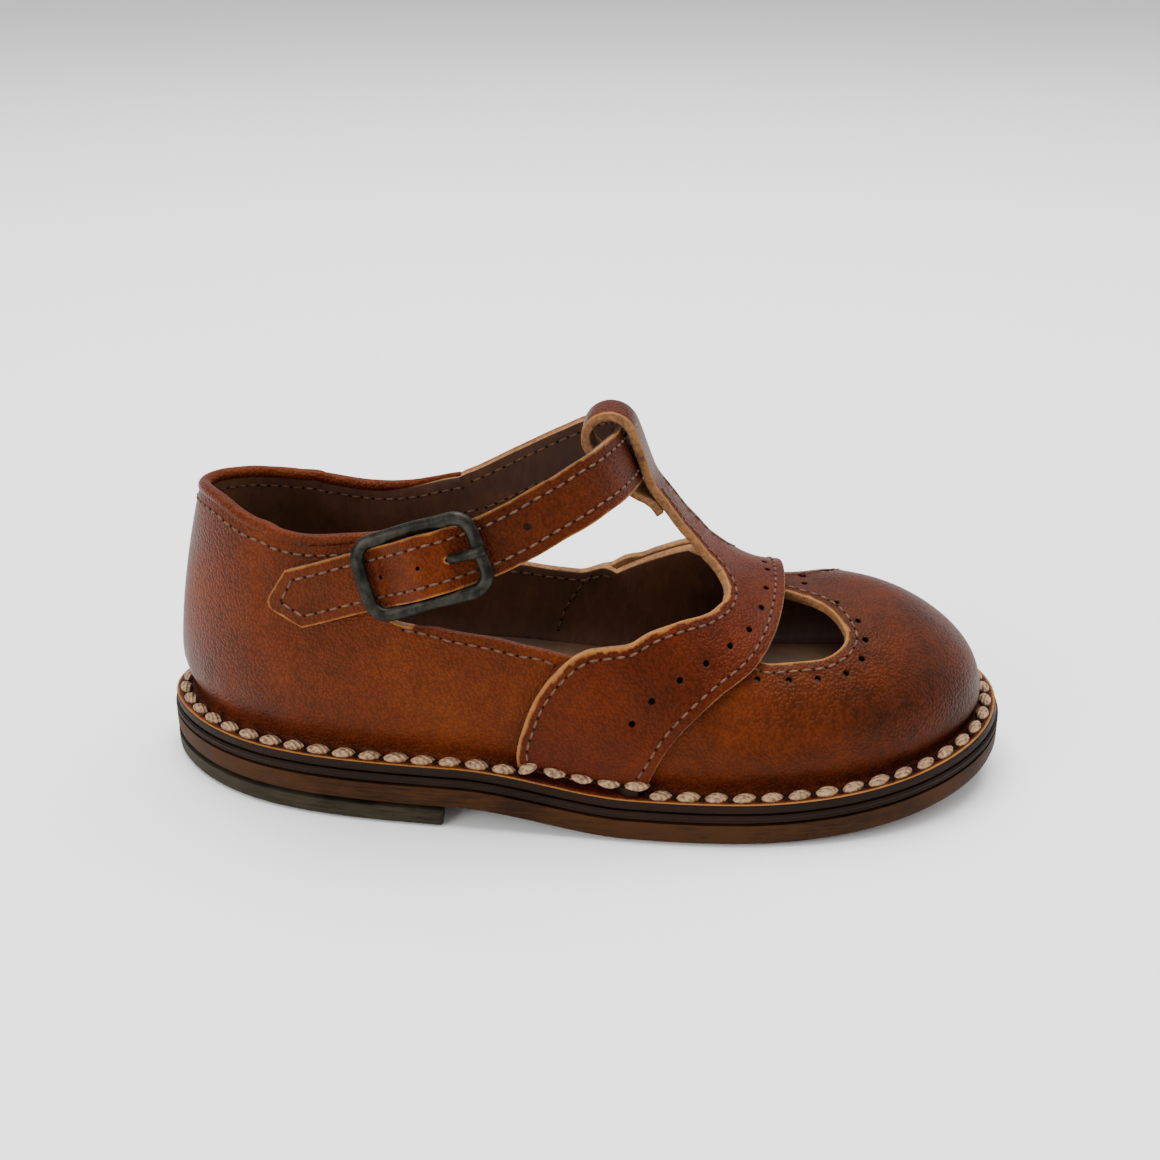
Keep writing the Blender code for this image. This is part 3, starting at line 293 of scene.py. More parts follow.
def ground(x):
    """Underside of the outsole: flat at the ball, up over the heel lift, and up at the toe."""
    x = np.asarray(x, float)
    toe = np.clip((x - BALL_END) / (LENGTH - BALL_END), 0, 1)
    arch = np.clip((BALL_START - x) / (BALL_START - LIFT_FRONT - 2.0), 0, 1)
    return TOE_SPRING * toe**2 + LIFT_RISE * arch * arch * (3 - 2 * arch)


def seat(x):
    """Top of the midsole."""
    return ground(x) + SOLE_STACK


def spine_y(x):
    """Middle line of the last seen from above."""
    u = np.clip((x - HEEL_FAN[0]) / (TOE_FAN[0] - HEEL_FAN[0]), 0, 1)
    return HEEL_FAN[1] + (TOE_FAN[1] - HEEL_FAN[1]) * u * u * (3 - 2 * u)


def reach_of(curve):
    """Distance from the middle line to a closed curve, sideways or round the heel and toe fans."""
    x, y = curve.T
    outer = y < spine_y(x)
    order_o, order_i = np.argsort(x[outer]), np.argsort(x[~outer])
    side_o = x[outer][order_o], y[outer][order_o]
    side_i = x[~outer][order_i], y[~outer][order_i]

    def fan(centre):
        turn = np.arctan2(y - centre[1], x - centre[0])
        order = np.argsort(turn)
        turn, away = turn[order], np.hypot(x - centre[0], y - centre[1])[order]
        return np.r_[turn - 2 * np.pi, turn, turn + 2 * np.pi], np.tile(away, 3)

    toe, heel = fan(TOE_FAN), fan(HEEL_FAN)

    def reach(cx, cy, turn, zone):
        side = np.where(np.sin(turn) < 0, cy - np.interp(cx, *side_o), np.interp(cx, *side_i) - cy)
        side = np.where(zone > 0, np.interp(turn, *toe), side)
        return np.where(zone < 0, np.interp(turn, *heel), side)

    return reach


feather_reach = reach_of(FEATHER)
edge_reach = reach_of(EDGE)


def rays(pattern):
    """Where each pattern point's line starts on the middle line, its direction, and how far out it is."""
    u, v = pattern[:, 0], pattern[:, 1]
    cx = np.clip(u, HEEL_FAN[0], TOE_FAN[0])
    zone = np.where(u > TOE_FAN[0], 1, np.where(u < HEEL_FAN[0], -1, 0))
    turn = np.where(zone == 0, np.where(v < 0, -np.pi / 2, np.pi / 2), np.arctan2(v, u - cx))
    return cx, spine_y(cx), turn, zone, np.hypot(u - cx, v)


def girth_of(cx, cy, turn, zone):
    """Half girth of the last on a ray, from the ridge to the feather line, and its reach in plan."""
    reach = feather_reach(cx, cy, turn, zone)
    height = ridge_height(cx) - seat(cx) - BEND
    return GIRTH_SHARE * np.pi / 2 * np.sqrt((reach**2 + height**2) / 2), reach


def side_girth(x, side):
    """Half girth of the last down its side at places x; side is -1 for the outer side."""
    return girth_of(x, spine_y(x), np.full(len(x), side * np.pi / 2), np.zeros(len(x)))[0]


def last_surface(pattern):
    """Pattern points folded over the last, down the wall, round the bend and out along the brim."""
    cx, cy, turn, zone, out = rays(pattern)
    girth, reach = girth_of(cx, cy, turn, zone)
    dx, dy = np.where(zone == 0, 0.0, np.cos(turn)), np.sin(turn)
    angle = np.pi / 2 * (1 - np.clip(out / girth, 0, 1))
    middle = cx + dx * reach * PLAN_MIDDLE
    inward = np.cos(angle) ** (2 / plan_power(middle))
    x = cx + dx * reach * inward
    rise = (ridge_height(x) - seat(x) - BEND) * np.clip(np.sin(angle), 0, 1) ** (2 / rise_power(middle))
    swell = swell_out(x) * (1 - np.exp(-(rise / SWELL_START) ** 2)) * np.exp(-(rise / SWELL_END) ** 2)
    away = reach * inward + swell * np.sqrt(np.clip(np.cos(angle), 0, 1))
    past = out - girth
    bend = np.clip(past / BEND, 0, np.pi / 2)
    flat = np.clip(past - BEND * np.pi / 2, 0, BRIM_ROLL) / BRIM_ROLL
    room = edge_reach(cx, cy, turn, zone) - BRIM_INSET - reach - BEND
    away = away + np.where(past > 0, BEND * (1 - np.cos(bend)), 0) + flat * room
    height = np.where(past > 0, BEND * (1 - np.sin(bend)), BEND + rise)
    x, y = cx + dx * away, cy + dy * away
    return np.stack([x, y, seat(x) + GAP + height], 1)


def face_out(pattern):
    """Outward normals of the last at pattern points."""
    step = 0.05
    along = last_surface(pattern + [step, 0]) - last_surface(pattern - [step, 0])
    across = last_surface(pattern + [0, step]) - last_surface(pattern - [0, step])
    return unit(np.cross(along, across), 1e-12)


# Creases of a worn shoe: a line of pattern points, depth (a ridge is positive) and width
CREASES = (
    (((112.0, -30.0), (122.0, -33.0), (134.0, -31.0)), -0.30, 2.2),
    (((108.0, -40.0), (118.0, -42.0), (130.0, -40.0)), 0.22, 2.6),
    (((140.0, 22.0), (132.0, 27.0), (120.0, 30.0)), -0.30, 2.4),
    (((22.0, -70.0), (34.0, -74.0), (48.0, -72.0)), -0.35, 3.0),
    (((40.0, -66.0), (52.0, -70.0), (64.0, -69.0)), 0.30, 3.2),
    (((18.0, -60.0), (20.0, -68.0), (17.0, -76.0)), -0.25, 2.4),
    (((20.0, 64.0), (32.0, 70.0), (44.0, 70.0)), -0.35, 3.0),
    (((46.0, 74.0), (58.0, 78.0), (70.0, 76.0)), 0.30, 3.0),
    (((92.0, -60.0), (99.0, -52.0), (108.0, -47.0)), -0.28, 2.2),
    (((92.0, 60.0), (99.0, 52.0), (108.0, 47.0)), -0.28, 2.2),
    (((104.0, -4.5), (105.0, 0.0), (104.0, 4.5)), -0.25, 1.6),
    (((109.0, -6.0), (110.0, 0.0), (109.0, 6.0)), -0.22, 1.6),
)
FOLD_UP = 5.0
FOLD_HIGH = 0.35
FOLD_WIDE = 2.6
TUCK_UP = 1.2
TUCK_DEEP = 0.25
TUCK_WIDE = 1.1


def off_line(points, line):
    """How far points are from a short bent line."""
    line = np.array(line, float)
    away = np.full(len(points), 1e3)
    for one, two in zip(line[:-1], line[1:]):
        way = two - one
        share = np.clip((points - one) @ way / (way @ way), 0, 1)
        away = np.minimum(away, np.linalg.norm(points - one - share[:, None] * way, axis=1))
    return away


def relief(pattern):
    """Listed soft creases, and the fold where the upper turns out over the sole."""
    cx, cy, turn, zone, out = rays(pattern)
    girth, _ = girth_of(cx, cy, turn, zone)
    up = girth - out
    wander = 1 + 0.5 * np.sin(pattern[:, 0] * 0.21) * np.cos(pattern[:, 1] * 0.17)
    height = FOLD_HIGH * wander * np.exp(-((up - FOLD_UP) / FOLD_WIDE) ** 2)
    height = height - TUCK_DEEP * np.exp(-((up - TUCK_UP) / TUCK_WIDE) ** 2)
    for line, deep, wide in CREASES:
        height = height + deep * np.exp(-(off_line(pattern, line) / wide) ** 2)
    return height


def lasted(pattern, lift):
    """Pattern points folded over the last and lifted off it."""
    pattern = np.atleast_2d(np.asarray(pattern, float))
    lift = np.broadcast_to(np.asarray(lift, float), len(pattern)) + relief(pattern)
    return last_surface(pattern) + face_out(pattern) * lift[:, None]


def tangents(spot, lift):
    """How the lifted surface moves for one step of u and one of v, at pattern points."""
    small = 0.05
    return [(lasted(spot + step, lift) - lasted(spot - step, lift)) / (2 * small)
            for step in np.array([[small, 0.0], [0.0, small]])]


def walk(spot, across, distance, paces=8):
    """Pattern points a true distance away from others, walked over the last in a direction in space."""
    for _ in range(paces):
        normal = face_out(spot)
        way = unit(across - normal * np.sum(normal * across, axis=1)[:, None])
        axes = np.stack(tangents(spot, 1), 2)
        metric = np.einsum("nij,nik->njk", axes, axes)
        pace = np.linalg.solve(metric, np.einsum("nij,ni->nj", axes, way)[..., None])[..., 0]
        spot = spot + pace * (np.asarray(distance) / paces)[..., None]
    return spot


def beside(line, distance):
    """A line of pattern points moved a true distance to its left, as seen from outside."""
    along = unit(np.gradient(lasted(line, WALL), axis=0))
    return walk(line, np.cross(face_out(line), along), distance)


def side_view(points, side):
    """Pattern points for places on the wall given by x and z; side is -1 for the outer side."""
    xz = np.array(points, float)
    x = xz[:, 0]
    base = seat(x) + GAP + BEND
    part = np.clip((xz[:, 1] - base) / (ridge_height(x) - seat(x) - BEND), 0, 1)
    angle = np.arcsin(np.clip(part ** (rise_power(x) / 2), 0, 1))
    return np.c_[x, side * side_girth(x, side) * (1 - 2 * angle / np.pi)]


def on_ray(run, up):
    """Pattern points for a distance round the feather line and a distance up from the bend."""
    total = FEATHER_RUN[-1]
    closed = looped(FEATHER)
    foot = np.stack([np.interp(np.mod(run, total), FEATHER_RUN, closed[:, i]) for i in range(2)], 1)
    cx = np.clip(foot[:, 0], HEEL_FAN[0], TOE_FAN[0])
    cy = spine_y(cx)
    zone = np.where(foot[:, 0] > TOE_FAN[0], 1, np.where(foot[:, 0] < HEEL_FAN[0], -1, 0))
    turn = np.arctan2(foot[:, 1] - cy, foot[:, 0] - cx)
    turn = np.where(zone == 0, np.sign(foot[:, 1] - cy) * np.pi / 2, turn)
    girth, _ = girth_of(cx, cy, turn, zone)
    out = girth - up
    return np.stack([cx + np.where(zone == 0, 0, np.cos(turn)) * out, np.sin(turn) * out], 1)


def round_heel(pattern):
    """Distance round the feather line, outer side positive, and up from the bend, for pattern points."""
    cx, cy, turn, zone, out = rays(np.asarray(pattern, float))
    girth, _ = girth_of(cx, cy, turn, zone)
    half = FEATHER_RUN[-1] / 2
    run = np.where(FEATHER_RUN[:-1] > half, FEATHER_RUN[:-1] - 2 * half, FEATHER_RUN[:-1])
    mid_y = spine_y(FEATHER[:, 0])
    found = np.empty(len(cx))
    for i in range(len(cx)):
        if zone[i] < 0:
            place = np.arctan2(FEATHER[:, 1] - HEEL_FAN[1], FEATHER[:, 0] - HEEL_FAN[0]) % (2 * np.pi)
            mask, key = FEATHER[:, 0] < HEEL_FAN[0] + 4, turn[i] % (2 * np.pi)
        else:
            place = FEATHER[:, 0]
            mask, key = ((FEATHER[:, 1] - mid_y) * np.sin(turn[i]) > 0) & (place < 125), cx[i]
        order = np.argsort(place[mask])
        found[i] = np.interp(key, place[mask][order], run[mask][order])
    return np.c_[found, girth - out]

# %% [markdown]
# ## Leather sheets
# A pattern piece is a flat outline. It is filled with even triangles, folded over the last at two
# heights, and closed round its rim, so every panel has its real thickness. Blender's solidify tool
# could thicken a sheet too, but here both faces keep their exact distance from the last.

# %% Sheet helpers
def tree_of(points):
    """A search tree of points."""
    tree = KDTree(len(points))
    for i, point in enumerate(points):
        tree.insert((*point, 0.0)[:3], i)
    tree.balance()
    return tree


def distance(points, line):
    """How far each point is from the nearest point of a line."""
    tree = tree_of(line)
    return np.array([tree.find((*point, 0.0)[:3])[2] for point in points])


def inside(points, loops):
    """Which points lie inside the first loop and outside the others."""
    hit = np.zeros(len(points), bool)
    x, y = points[:, 0], points[:, 1]
    for loop in loops:
        for (x1, y1), (x2, y2) in zip(loop, np.roll(loop, -1, 0)):
            if y1 == y2:
                continue
            crosses = (y1 > y) != (y2 > y)
            hit ^= crosses & (x < (x2 - x1) * (y - y1) / (y2 - y1) + x1)
    return hit


# Rows of even triangles lie this share of their side apart, and keep this share off the border
ROW_SHARE = 0.866
BORDER_SHARE = 0.62


def fill(loops, spacing):
    """Even triangles between closed loops in a plane: points and faces."""
    loops = [np.array(loop, float) for loop in loops]
    low, high = loops[0].min(0), loops[0].max(0)
    rows = np.arange(low[1], high[1], spacing * ROW_SHARE)
    grid = []
    for i, row in enumerate(rows):
        start = low[0] + (i % 2) * spacing / 2
        grid += [(x, row) for x in np.arange(start, high[0], spacing)]
    grid = np.array(grid)
    grid = grid[inside(grid, loops)]
    border = np.vstack([resample(looped(a), 3 * len(a)) for a in loops])
    grid = grid[distance(grid, border) > BORDER_SHARE * spacing]
    points, edges = np.vstack(loops + [grid]), []
    first = 0
    for loop in loops:
        count = len(loop)
        edges += [(first + i, first + (i + 1) % count) for i in range(count)]
        first += count
    result = delaunay_2d_cdt([Vector(p) for p in points], edges, [], 0, 1e-6)
    made = np.array([tuple(v) for v in result[0]])
    faces = np.array(result[2])
    faces = faces[inside(made[faces].mean(1), loops)]
    one, two = made[faces[:, 1]] - made[faces[:, 0]], made[faces[:, 2]] - made[faces[:, 0]]
    area = one[:, 0] * two[:, 1] - one[:, 1] * two[:, 0]
    faces[area < 0] = faces[area < 0][:, ::-1]
    return made, faces[np.abs(area) > SLIVER]


def fill_pattern(loops, spacing):
    """Even triangles between closed loops of pattern points, with the tall instep drawn narrower."""
    def width(pattern):
        u = np.clip(pattern[:, 0], 76.0, 112.0)
        return side_girth(u, -1) / EVEN_GIRTH

    narrow = [np.c_[loop[:, 0], loop[:, 1] / width(loop)] for loop in loops]
    points, faces = fill(narrow, spacing)
    return np.c_[points[:, 0], points[:, 1] * width(points)], faces


def grid_faces(rows, columns):
    """Triangles of a grid of points stored row by row."""
    faces = []
    for r in range(rows - 1):
        for c in range(columns - 1):
            a = r * columns + c
            faces += [(a, a + 1, a + columns + 1), (a, a + columns + 1, a + columns)]
    return np.array(faces)


def joined(sheets):
    """Sheets of inner and outer points joined where their inner points meet."""
    inner = np.vstack([s[0] for s in sheets])
    outer = np.vstack([s[1] for s in sheets])
    shift = np.cumsum([0] + [len(s[0]) for s in sheets[:-1]])
    faces = np.vstack([s[2] + k for s, k in zip(sheets, shift)])
    tree = tree_of(inner)
    same = np.array([min(k for _, k, _ in tree.find_range(p, 0.02)) for p in inner])
    kept, index = np.unique(same, return_inverse=True)
    return inner[kept], outer[kept], index[faces]


# Which finish a face has: of the outside, the inside, a cut edge, an inked edge, or painted shade on the wall
# of a punched hole
FACE, BACK, CUT, INKED, SHADED_HOLE = range(5)


def shell(inner, outer, faces, rounding=0.3):
    """A closed solid between an inner and an outer sheet, with rounded cut edges, and each face's zone."""
    count = len(inner)
    directed = {(int(a), int(b)) for face in faces for a, b in zip(face, np.roll(face, -1))}
    border = [(a, b) for a, b in directed if (b, a) not in directed]
    thick = unit(outer - inner, 1e-12)
    out = np.zeros_like(inner)
    for a, b in border:
        along = outer[b] - outer[a]
        away = np.cross(along / (np.linalg.norm(along) + 1e-12), thick[a])
        out[a] += away
        out[b] += away
    rim = np.array(sorted({a for a, _ in border}))
    out[rim] = unit(out[rim], 1e-12)
    place_of = {a: i for i, a in enumerate(rim)}
    d, t = thick[rim] * rounding, out[rim] * rounding
    high, low = outer[rim], inner[rim]
    rings = [high - 0.3 * (d + t), high - d, low + d, low + 0.3 * (d - t)]
    points = np.vstack([inner - out * rounding, outer - out * rounding] + rings)
    solid = [(a + count, b + count, c + count) for a, b, c in faces] + [(c, b, a) for a, b, c in faces]
    zones = [FACE] * len(faces) + [BACK] * len(faces)
    n = len(rim)
    for a, b in border:
        i, j = place_of[a], place_of[b]
        starts = [2 * count + r * n for r in range(4)]
        up = [(a + count, b + count), *[(start + i, start + j) for start in starts], (a, b)]
        for (p, q), (low_a, low_b), zone in zip(up, up[1:], (FACE, CUT, CUT, CUT, BACK)):
            solid.append((q, p, low_a, low_b))
            zones.append(zone)
    return points, solid, zones


def worn(piece, points, faces, zones, width=1.5, dull=None):
    """Write how near each point is to a cut edge, for the pale worn line; near the dull line it is weaker."""
    rim = {v for face, zone in zip(faces, zones) if zone in (CUT, INKED) for v in face}
    points = np.asarray(points)
    wear = np.clip(1 - distance(points, points[sorted(rim)]) / width, 0, 1)
    if dull is not None:
        wear = np.where(distance(points, dull) < 3.0, 0.72 * wear, wear)
    attribute(piece, "wear", wear)


# %% [markdown]
# ## The strap's own frame
# Everything on the ankle strap is placed by the distance from the buckle's pin, across, and off the last.

# %% Belt
class Belt:
    """Places along the ankle strap: distance from the buckle's pin, distance across, and height."""

    def __init__(self):
        ridge_point = np.array([[RIDGE_CROSS, 0.0]])
        middle = np.vstack([side_view(STRAP_OUTER, -1), ridge_point, side_view(STRAP_INNER, 1)])
        self.line = smooth_run(middle, 0.5)
        surface = lasted(self.line, WALL)
        run = along_line(surface)
        outer = self.line[:, 1] < 0
        pin = np.argmin(np.abs(self.line[:, 0] - BUCKLE_X) + 1000 * ~outer)
        self.run = run - run[pin]
        self.across = np.cross(face_out(self.line), unit(np.gradient(surface, axis=0)))

    def pattern(self, a, b):
        """Pattern points for distances along and across the strap, walked out over the last."""
        a, b = np.asarray(a, float), np.asarray(b, float)
        spot = np.stack([np.interp(a, self.run, self.line[:, i]) for i in range(2)], 1)
        across = np.stack([np.interp(a, self.run, self.across[:, i]) for i in range(3)], 1)
        return walk(spot, across, b)

    def place(self, a, b, h):
        """Points in space for distances along, across and off the last."""
        a, b, h = np.broadcast_arrays(np.asarray(a, float), b, h)
        return lasted(self.pattern(a.ravel(), b.ravel()), h.ravel())


belt = Belt()
strap_lift = smooth_table(STRAP_LIFT)

# %% [markdown]
# ## Helpers for pieces and finishes
# A piece gets its points in millimetres and is placed once. One small function adds a shader node with
# its settings and links, and another turns a hex colour into Blender's linear one.

# %% Helpers
def place(points):
    """Millimetres from the heel to metres in the frame."""
    return (np.asarray(points, float) - MIDDLE) * MM


def pick(piece):
    """Deselect all, then select and activate one piece."""
    bpy.ops.object.select_all(action="DESELECT")
    piece.select_set(True)
    bpy.context.view_layer.objects.active = piece


def new_piece(name, points, faces, finishes, zones=None, replaces=()):
    """A mesh object that rides on the shoe; zones gives each face its finish."""
    mesh = bpy.data.meshes.new(name)
    mesh.from_pydata(place(points).tolist(), [], [tuple(map(int, f)) for f in faces])
    for finish in finishes:
        mesh.materials.append(finish)
    if zones is not None:
        mesh.polygons.foreach_set("material_index", np.asarray(zones, np.int32))
    piece = bpy.data.objects.new(name, mesh)
    bpy.context.scene.collection.objects.link(piece)
    keep(piece, replaces)
    return piece


def keep(piece, replaces=()):
    """Say what the piece rides on, and which CAD nodes it stands for."""
    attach(piece, "root")
    if replaces:
        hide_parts(*replaces)


def point_outwards(piece):
    """Make the faces of a closed piece look out."""
    net = bmesh.new()
    net.from_mesh(piece.data)
    bmesh.ops.remove_doubles(net, verts=net.verts, dist=0.000002)
    bmesh.ops.recalc_face_normals(net, faces=net.faces)
    net.to_mesh(piece.data)
    net.free()


def shade(piece, angle=40.0):
    """Smooth shading with sharp creases kept."""
    pick(piece)
    bpy.ops.object.shade_smooth_by_angle(angle=math.radians(angle))


def attribute(piece, name, values):
    """A number at each point, for a material to read."""
    layer = piece.data.attributes.new(name, "FLOAT", "POINT")
    layer.data.foreach_set("value", np.asarray(values, np.float32))


def linear(code, alpha=1.0):
    """A hex sRGB colour as Blender's linear one."""
    parts = [int(code[i:i + 2], 16) / 255 for i in (1, 3, 5)]
    return [c / 12.92 if c <= 0.04045 else ((c + 0.055) / 1.055) ** 2.4 for c in parts] + [alpha]


def add(tree, kind, inputs=None, **settings):
    """A shader node with its settings, its values and its links."""
    made = tree.nodes.new("ShaderNode" + kind)
    for key, value in settings.items():
        setattr(made, key, value)
    give(tree, made, inputs or {})
    return made


def give(tree, node, inputs):
    """Give a node's inputs their links or values."""
    for key, value in inputs.items():
        if isinstance(value, bpy.types.NodeSocket):
            tree.links.new(value, node.inputs[key])
        else:
            node.inputs[key].default_value = value


def blank(name):
    """A material with its Principled shader, and the place on the piece that textures read."""
    made = bpy.data.materials.new(name)
    made.use_nodes = True
    tree = made.node_tree
    return made, tree, tree.nodes["Principled BSDF"], add(tree, "TexCoord").outputs["Object"]


def per(mm):
    """Texture scale for a pattern of that size on Object coordinates in metres."""
    return 1000.0 / mm


def ramp(tree, factor, stops):
    """A colour ramp between hex colours at given places."""
    made = add(tree, "ValToRGB", {"Fac": factor})
    band = made.color_ramp
    while len(band.elements) < len(stops):
        band.elements.new(0.5)
    for element, (spot, code) in zip(band.elements, stops):
        element.position = spot
        element.color = linear(code)
    return made.outputs["Color"]


def noise(tree, where, mm, detail, rough=0.5, **more):
    """Noise with features of a size in millimetres."""
    inputs = {"Vector": where, "Scale": per(mm), "Detail": detail, "Roughness": rough, **more}
    return add(tree, "TexNoise", inputs).outputs["Fac"]


def read(tree, name):
    """A number that the piece carries at each point."""
    return add(tree, "Attribute", attribute_name=name).outputs["Fac"]


def scaled(tree, value, factor, plus):
    """A value times a factor, plus another value."""
    return add(tree, "Math", {0: value, 1: factor, 2: plus}, operation="MULTIPLY_ADD").outputs[0]


def ranged(tree, value, old=(0.0, 1.0), new=(0.0, 1.0), **settings):
    """A value moved from one range to another, and held inside it."""
    inputs = {"Value": value, "From Min": old[0], "From Max": old[1], "To Min": new[0], "To Max": new[1]}
    return add(tree, "MapRange", inputs, **settings).outputs[0]


def mixed_colour(tree, share, one, two, **settings):
    """Two colours mixed by a share."""
    return add(tree, "Mix", {"Factor": share, 6: one, 7: two}, data_type="RGBA", **settings).outputs[2]


def bumped(tree, height, strength, deep):
    """Surface directions for a relief so many metres deep."""
    return add(tree, "Bump", {"Height": height, "Strength": strength, "Distance": deep}).outputs["Normal"]


# %% [markdown]
# ## Finishes
# The upper is vegetable-tanned cow leather, dyed cognac, waxed and burnished by hand: cloudy colour,
# a fine pebbled grain of about 0.6 mm and an uneven soft shine. Cut edges are the undyed middle of the
# hide, lighter and fibrous. The size of each grain is set in millimetres.

# %% Burnished leather
def burnished_leather(name, dark, middle, light):
    """Cloudy dyed leather with pebbled grain; the piece's tone attribute darkens or lightens it."""
    made, tree, shader, where = blank(name)
    clouds = noise(tree, where, 18.0, 5.0, 0.6)
    speck = noise(tree, where, 2.4, 3.0)
    cloudy = scaled(tree, speck, 0.20, scaled(tree, clouds, 0.62, read(tree, "tone")))
    colour = ramp(tree, cloudy, ((0.18, dark), (0.415, middle), (0.68, light)))
    pebble = add(tree, "TexVoronoi", {"Vector": where, "Scale": per(0.62), "Randomness": 1.0}, feature="F1")
    dip = pebble.outputs["Distance"]
    crease = ranged(tree, dip, (0.25, 0.75), (1.0, 0.0), interpolation_type="SMOOTHSTEP")
    # Painted shade in the grain: the crevices between the pebbles are darkened and their tops a little
    # lightened.
    grain_shaded = mixed_colour(tree, 1.0, colour, scaled(tree, crease, 0.34, 0.72), blend_type="MULTIPLY")
    ragged = scaled(tree, speck, 0.35, read(tree, "wear"))
    edged = mixed_colour(tree, ranged(tree, ragged, (0.82, 1.05)), grain_shaded, linear("#8A5A2C"))
    height = scaled(tree, noise(tree, where, 3.2, 4.0, 0.6), 0.3, crease)
    give(tree, shader, {
        "Base Color": edged,
        "Roughness": ranged(tree, clouds, (0.3, 0.7), (0.39, 0.54)),
        "Normal": bumped(tree, height, 0.52, 0.00022),
        "Specular IOR Level": 0.16,
        "Specular Tint": linear("#FFC89A"),
    })
    return made


def fibrous_leather(name, dark, light, fleck=0.9):
    """Undyed or suede leather: fibrous, with dark flecks."""
    made, tree, shader, where = blank(name)
    fibres = noise(tree, where, fleck, 6.0, 0.7)
    cloudy = scaled(tree, noise(tree, where, 7.0, 3.0), 0.5, fibres)
    give(tree, shader, {
        "Base Color": ramp(tree, cloudy, ((0.55, dark), (0.90, light))),
        "Roughness": 0.82,
        "Normal": bumped(tree, fibres, 0.6, 0.0003),
    })
    return made


def lining_leather(name, dark, light, wrinkle=2.6):
    """Thin lining leather with small wrinkles that run up the wall."""
    made, tree, shader, where = blank(name)
    tall = {"Vector": where, "Rotation": (0.0, 0.5, 0.0), "Scale": (1.0, 1.0, 0.35)}
    stretched = add(tree, "Mapping", tall)
    folds = noise(tree, stretched.outputs[0], wrinkle, 4.0, Distortion=1.2)
    clouds = noise(tree, where, 20.0, 3.0)
    cloudy = scaled(tree, folds, 0.25, scaled(tree, clouds, 0.6, read(tree, "tone")))
    give(tree, shader, {
        "Base Color": ramp(tree, cloudy, ((0.30, dark), (0.75, light))),
        "Roughness": 0.62,
        "Normal": bumped(tree, folds, 0.45, 0.0005),
    })
    return made


def thread(name, dark, light, twist_count=0.0):
    """Waxed twisted thread; twist_count shows the plies across each stitch."""
    made, tree, shader, where = blank(name)
    fuzz = noise(tree, where, 0.7, 2.0)
    across = add(tree, "Math", {0: read(tree, "strand"), 1: twist_count}, operation="MULTIPLY").outputs[0]
    ply = add(tree, "Math", {0: across}, operation="SINE").outputs[0]
    give(tree, shader, {
        "Base Color": ramp(tree, scaled(tree, ply, 0.07, fuzz), ((0.32, dark), (0.62, light))),
        "Roughness": 0.7,
        "Normal": bumped(tree, scaled(tree, ply, 1.2, fuzz), 0.5, 0.0003),
    })
    return made


vamp_leather = burnished_leather("cognac_cow_leather", "#2A0A03", "#501D08", "#6A310F")
saddle_leather = burnished_leather("cognac_cow_leather_darker", "#280903", "#461405", "#5C220A")
bare_edge = fibrous_leather("raw_cut_edge", "#4E2C10", "#8E6034")
flesh_side = fibrous_leather("flesh_side_of_hide", "#4E3018", "#84582E", fleck=1.4)
pig_lining = lining_leather("pigskin_lining", "#341707", "#6A4020")
footbed_leather = lining_leather("insole_board_leather", "#2E1A0C", "#5C3C1E", wrinkle=6.0)
cream_cord = thread("waxed_linen_cord", "#5C4430", "#A5815E", 8.0)
# The fine thread is its own dark brown, darkened further as painted shade for stitches sunk into the leather.
tan_thread = thread("bonded_nylon_thread", "#341C0E", "#5E3A1E")

# %% [markdown]
# The sole's edge is leather inked nearly black and burnished with a hot iron, so it is smooth with fine
# scratches along it. The outsole below is bark-tanned leather, and the heel lift is moulded rubber.

# %% Sole finishes
def burnished_edge(name, dark, light, rough):
    """Inked or waxed sole edge with fine scratches that run along it."""
    made, tree, shader, where = blank(name)
    flat = add(tree, "Mapping", {"Vector": where, "Scale": (0.12, 0.12, 1.6)})
    streaks = noise(tree, flat.outputs[0], 0.8, 5.0, 0.65)
    cloudy = scaled(tree, noise(tree, where, 14.0, 4.0), 0.8, streaks)
    give(tree, shader, {
        "Base Color": ramp(tree, cloudy, ((0.70, dark), (1.10, light))),
        "Roughness": ranged(tree, streaks, (0.3, 0.7), (rough - 0.08, rough + 0.14)),
        "Normal": bumped(tree, cloudy, 0.35, 0.0003),
        "Specular IOR Level": 0.14,
        "Specular Tint": linear("#FFD8B8"),
    })
    return made


black_edge = burnished_edge("inked_midsole_edge", "#0A0606", "#1A0F0D", 0.58)
brown_edge = burnished_edge("bark_tanned_sole", "#1A0C05", "#38200F", 0.68)
dark_rubber = burnished_edge("moulded_rubber_lift", "#14120D", "#2E2A20", 0.66)


def plated_metal(name, code, rough):
    """Gunmetal plating with a cloudy, lightly worn surface."""
    made, tree, shader, where = blank(name)
    wear = noise(tree, where, 3.0, 5.0, 0.6)
    give(tree, shader, {
        "Base Color": ramp(tree, wear, ((0.40, code), (0.80, "#45423B"))),
        "Roughness": ranged(tree, wear, new=(rough - 0.1, rough + 0.15)),
        "Metallic": 1.0,
    })
    return made


def matt_dark(name, code, rough):
    """A plain dark matt finish with a fine weave."""
    made, tree, shader, where = blank(name)
    weave = noise(tree, where, 0.6, 2.0)
    give(tree, shader, {
        "Base Color": ramp(tree, weave, ((0.3, "#060505"), (0.8, code))),
        "Roughness": rough,
        "Normal": bumped(tree, weave, 0.5, 0.0002),
        "Specular IOR Level": 0.12,
    })
    return made


gunmetal = plated_metal("gunmetal_plated_zinc", "#1F1E1B", 0.42)
woven_elastic = matt_dark("woven_black_elastic", "#1D1B1A", 0.85)
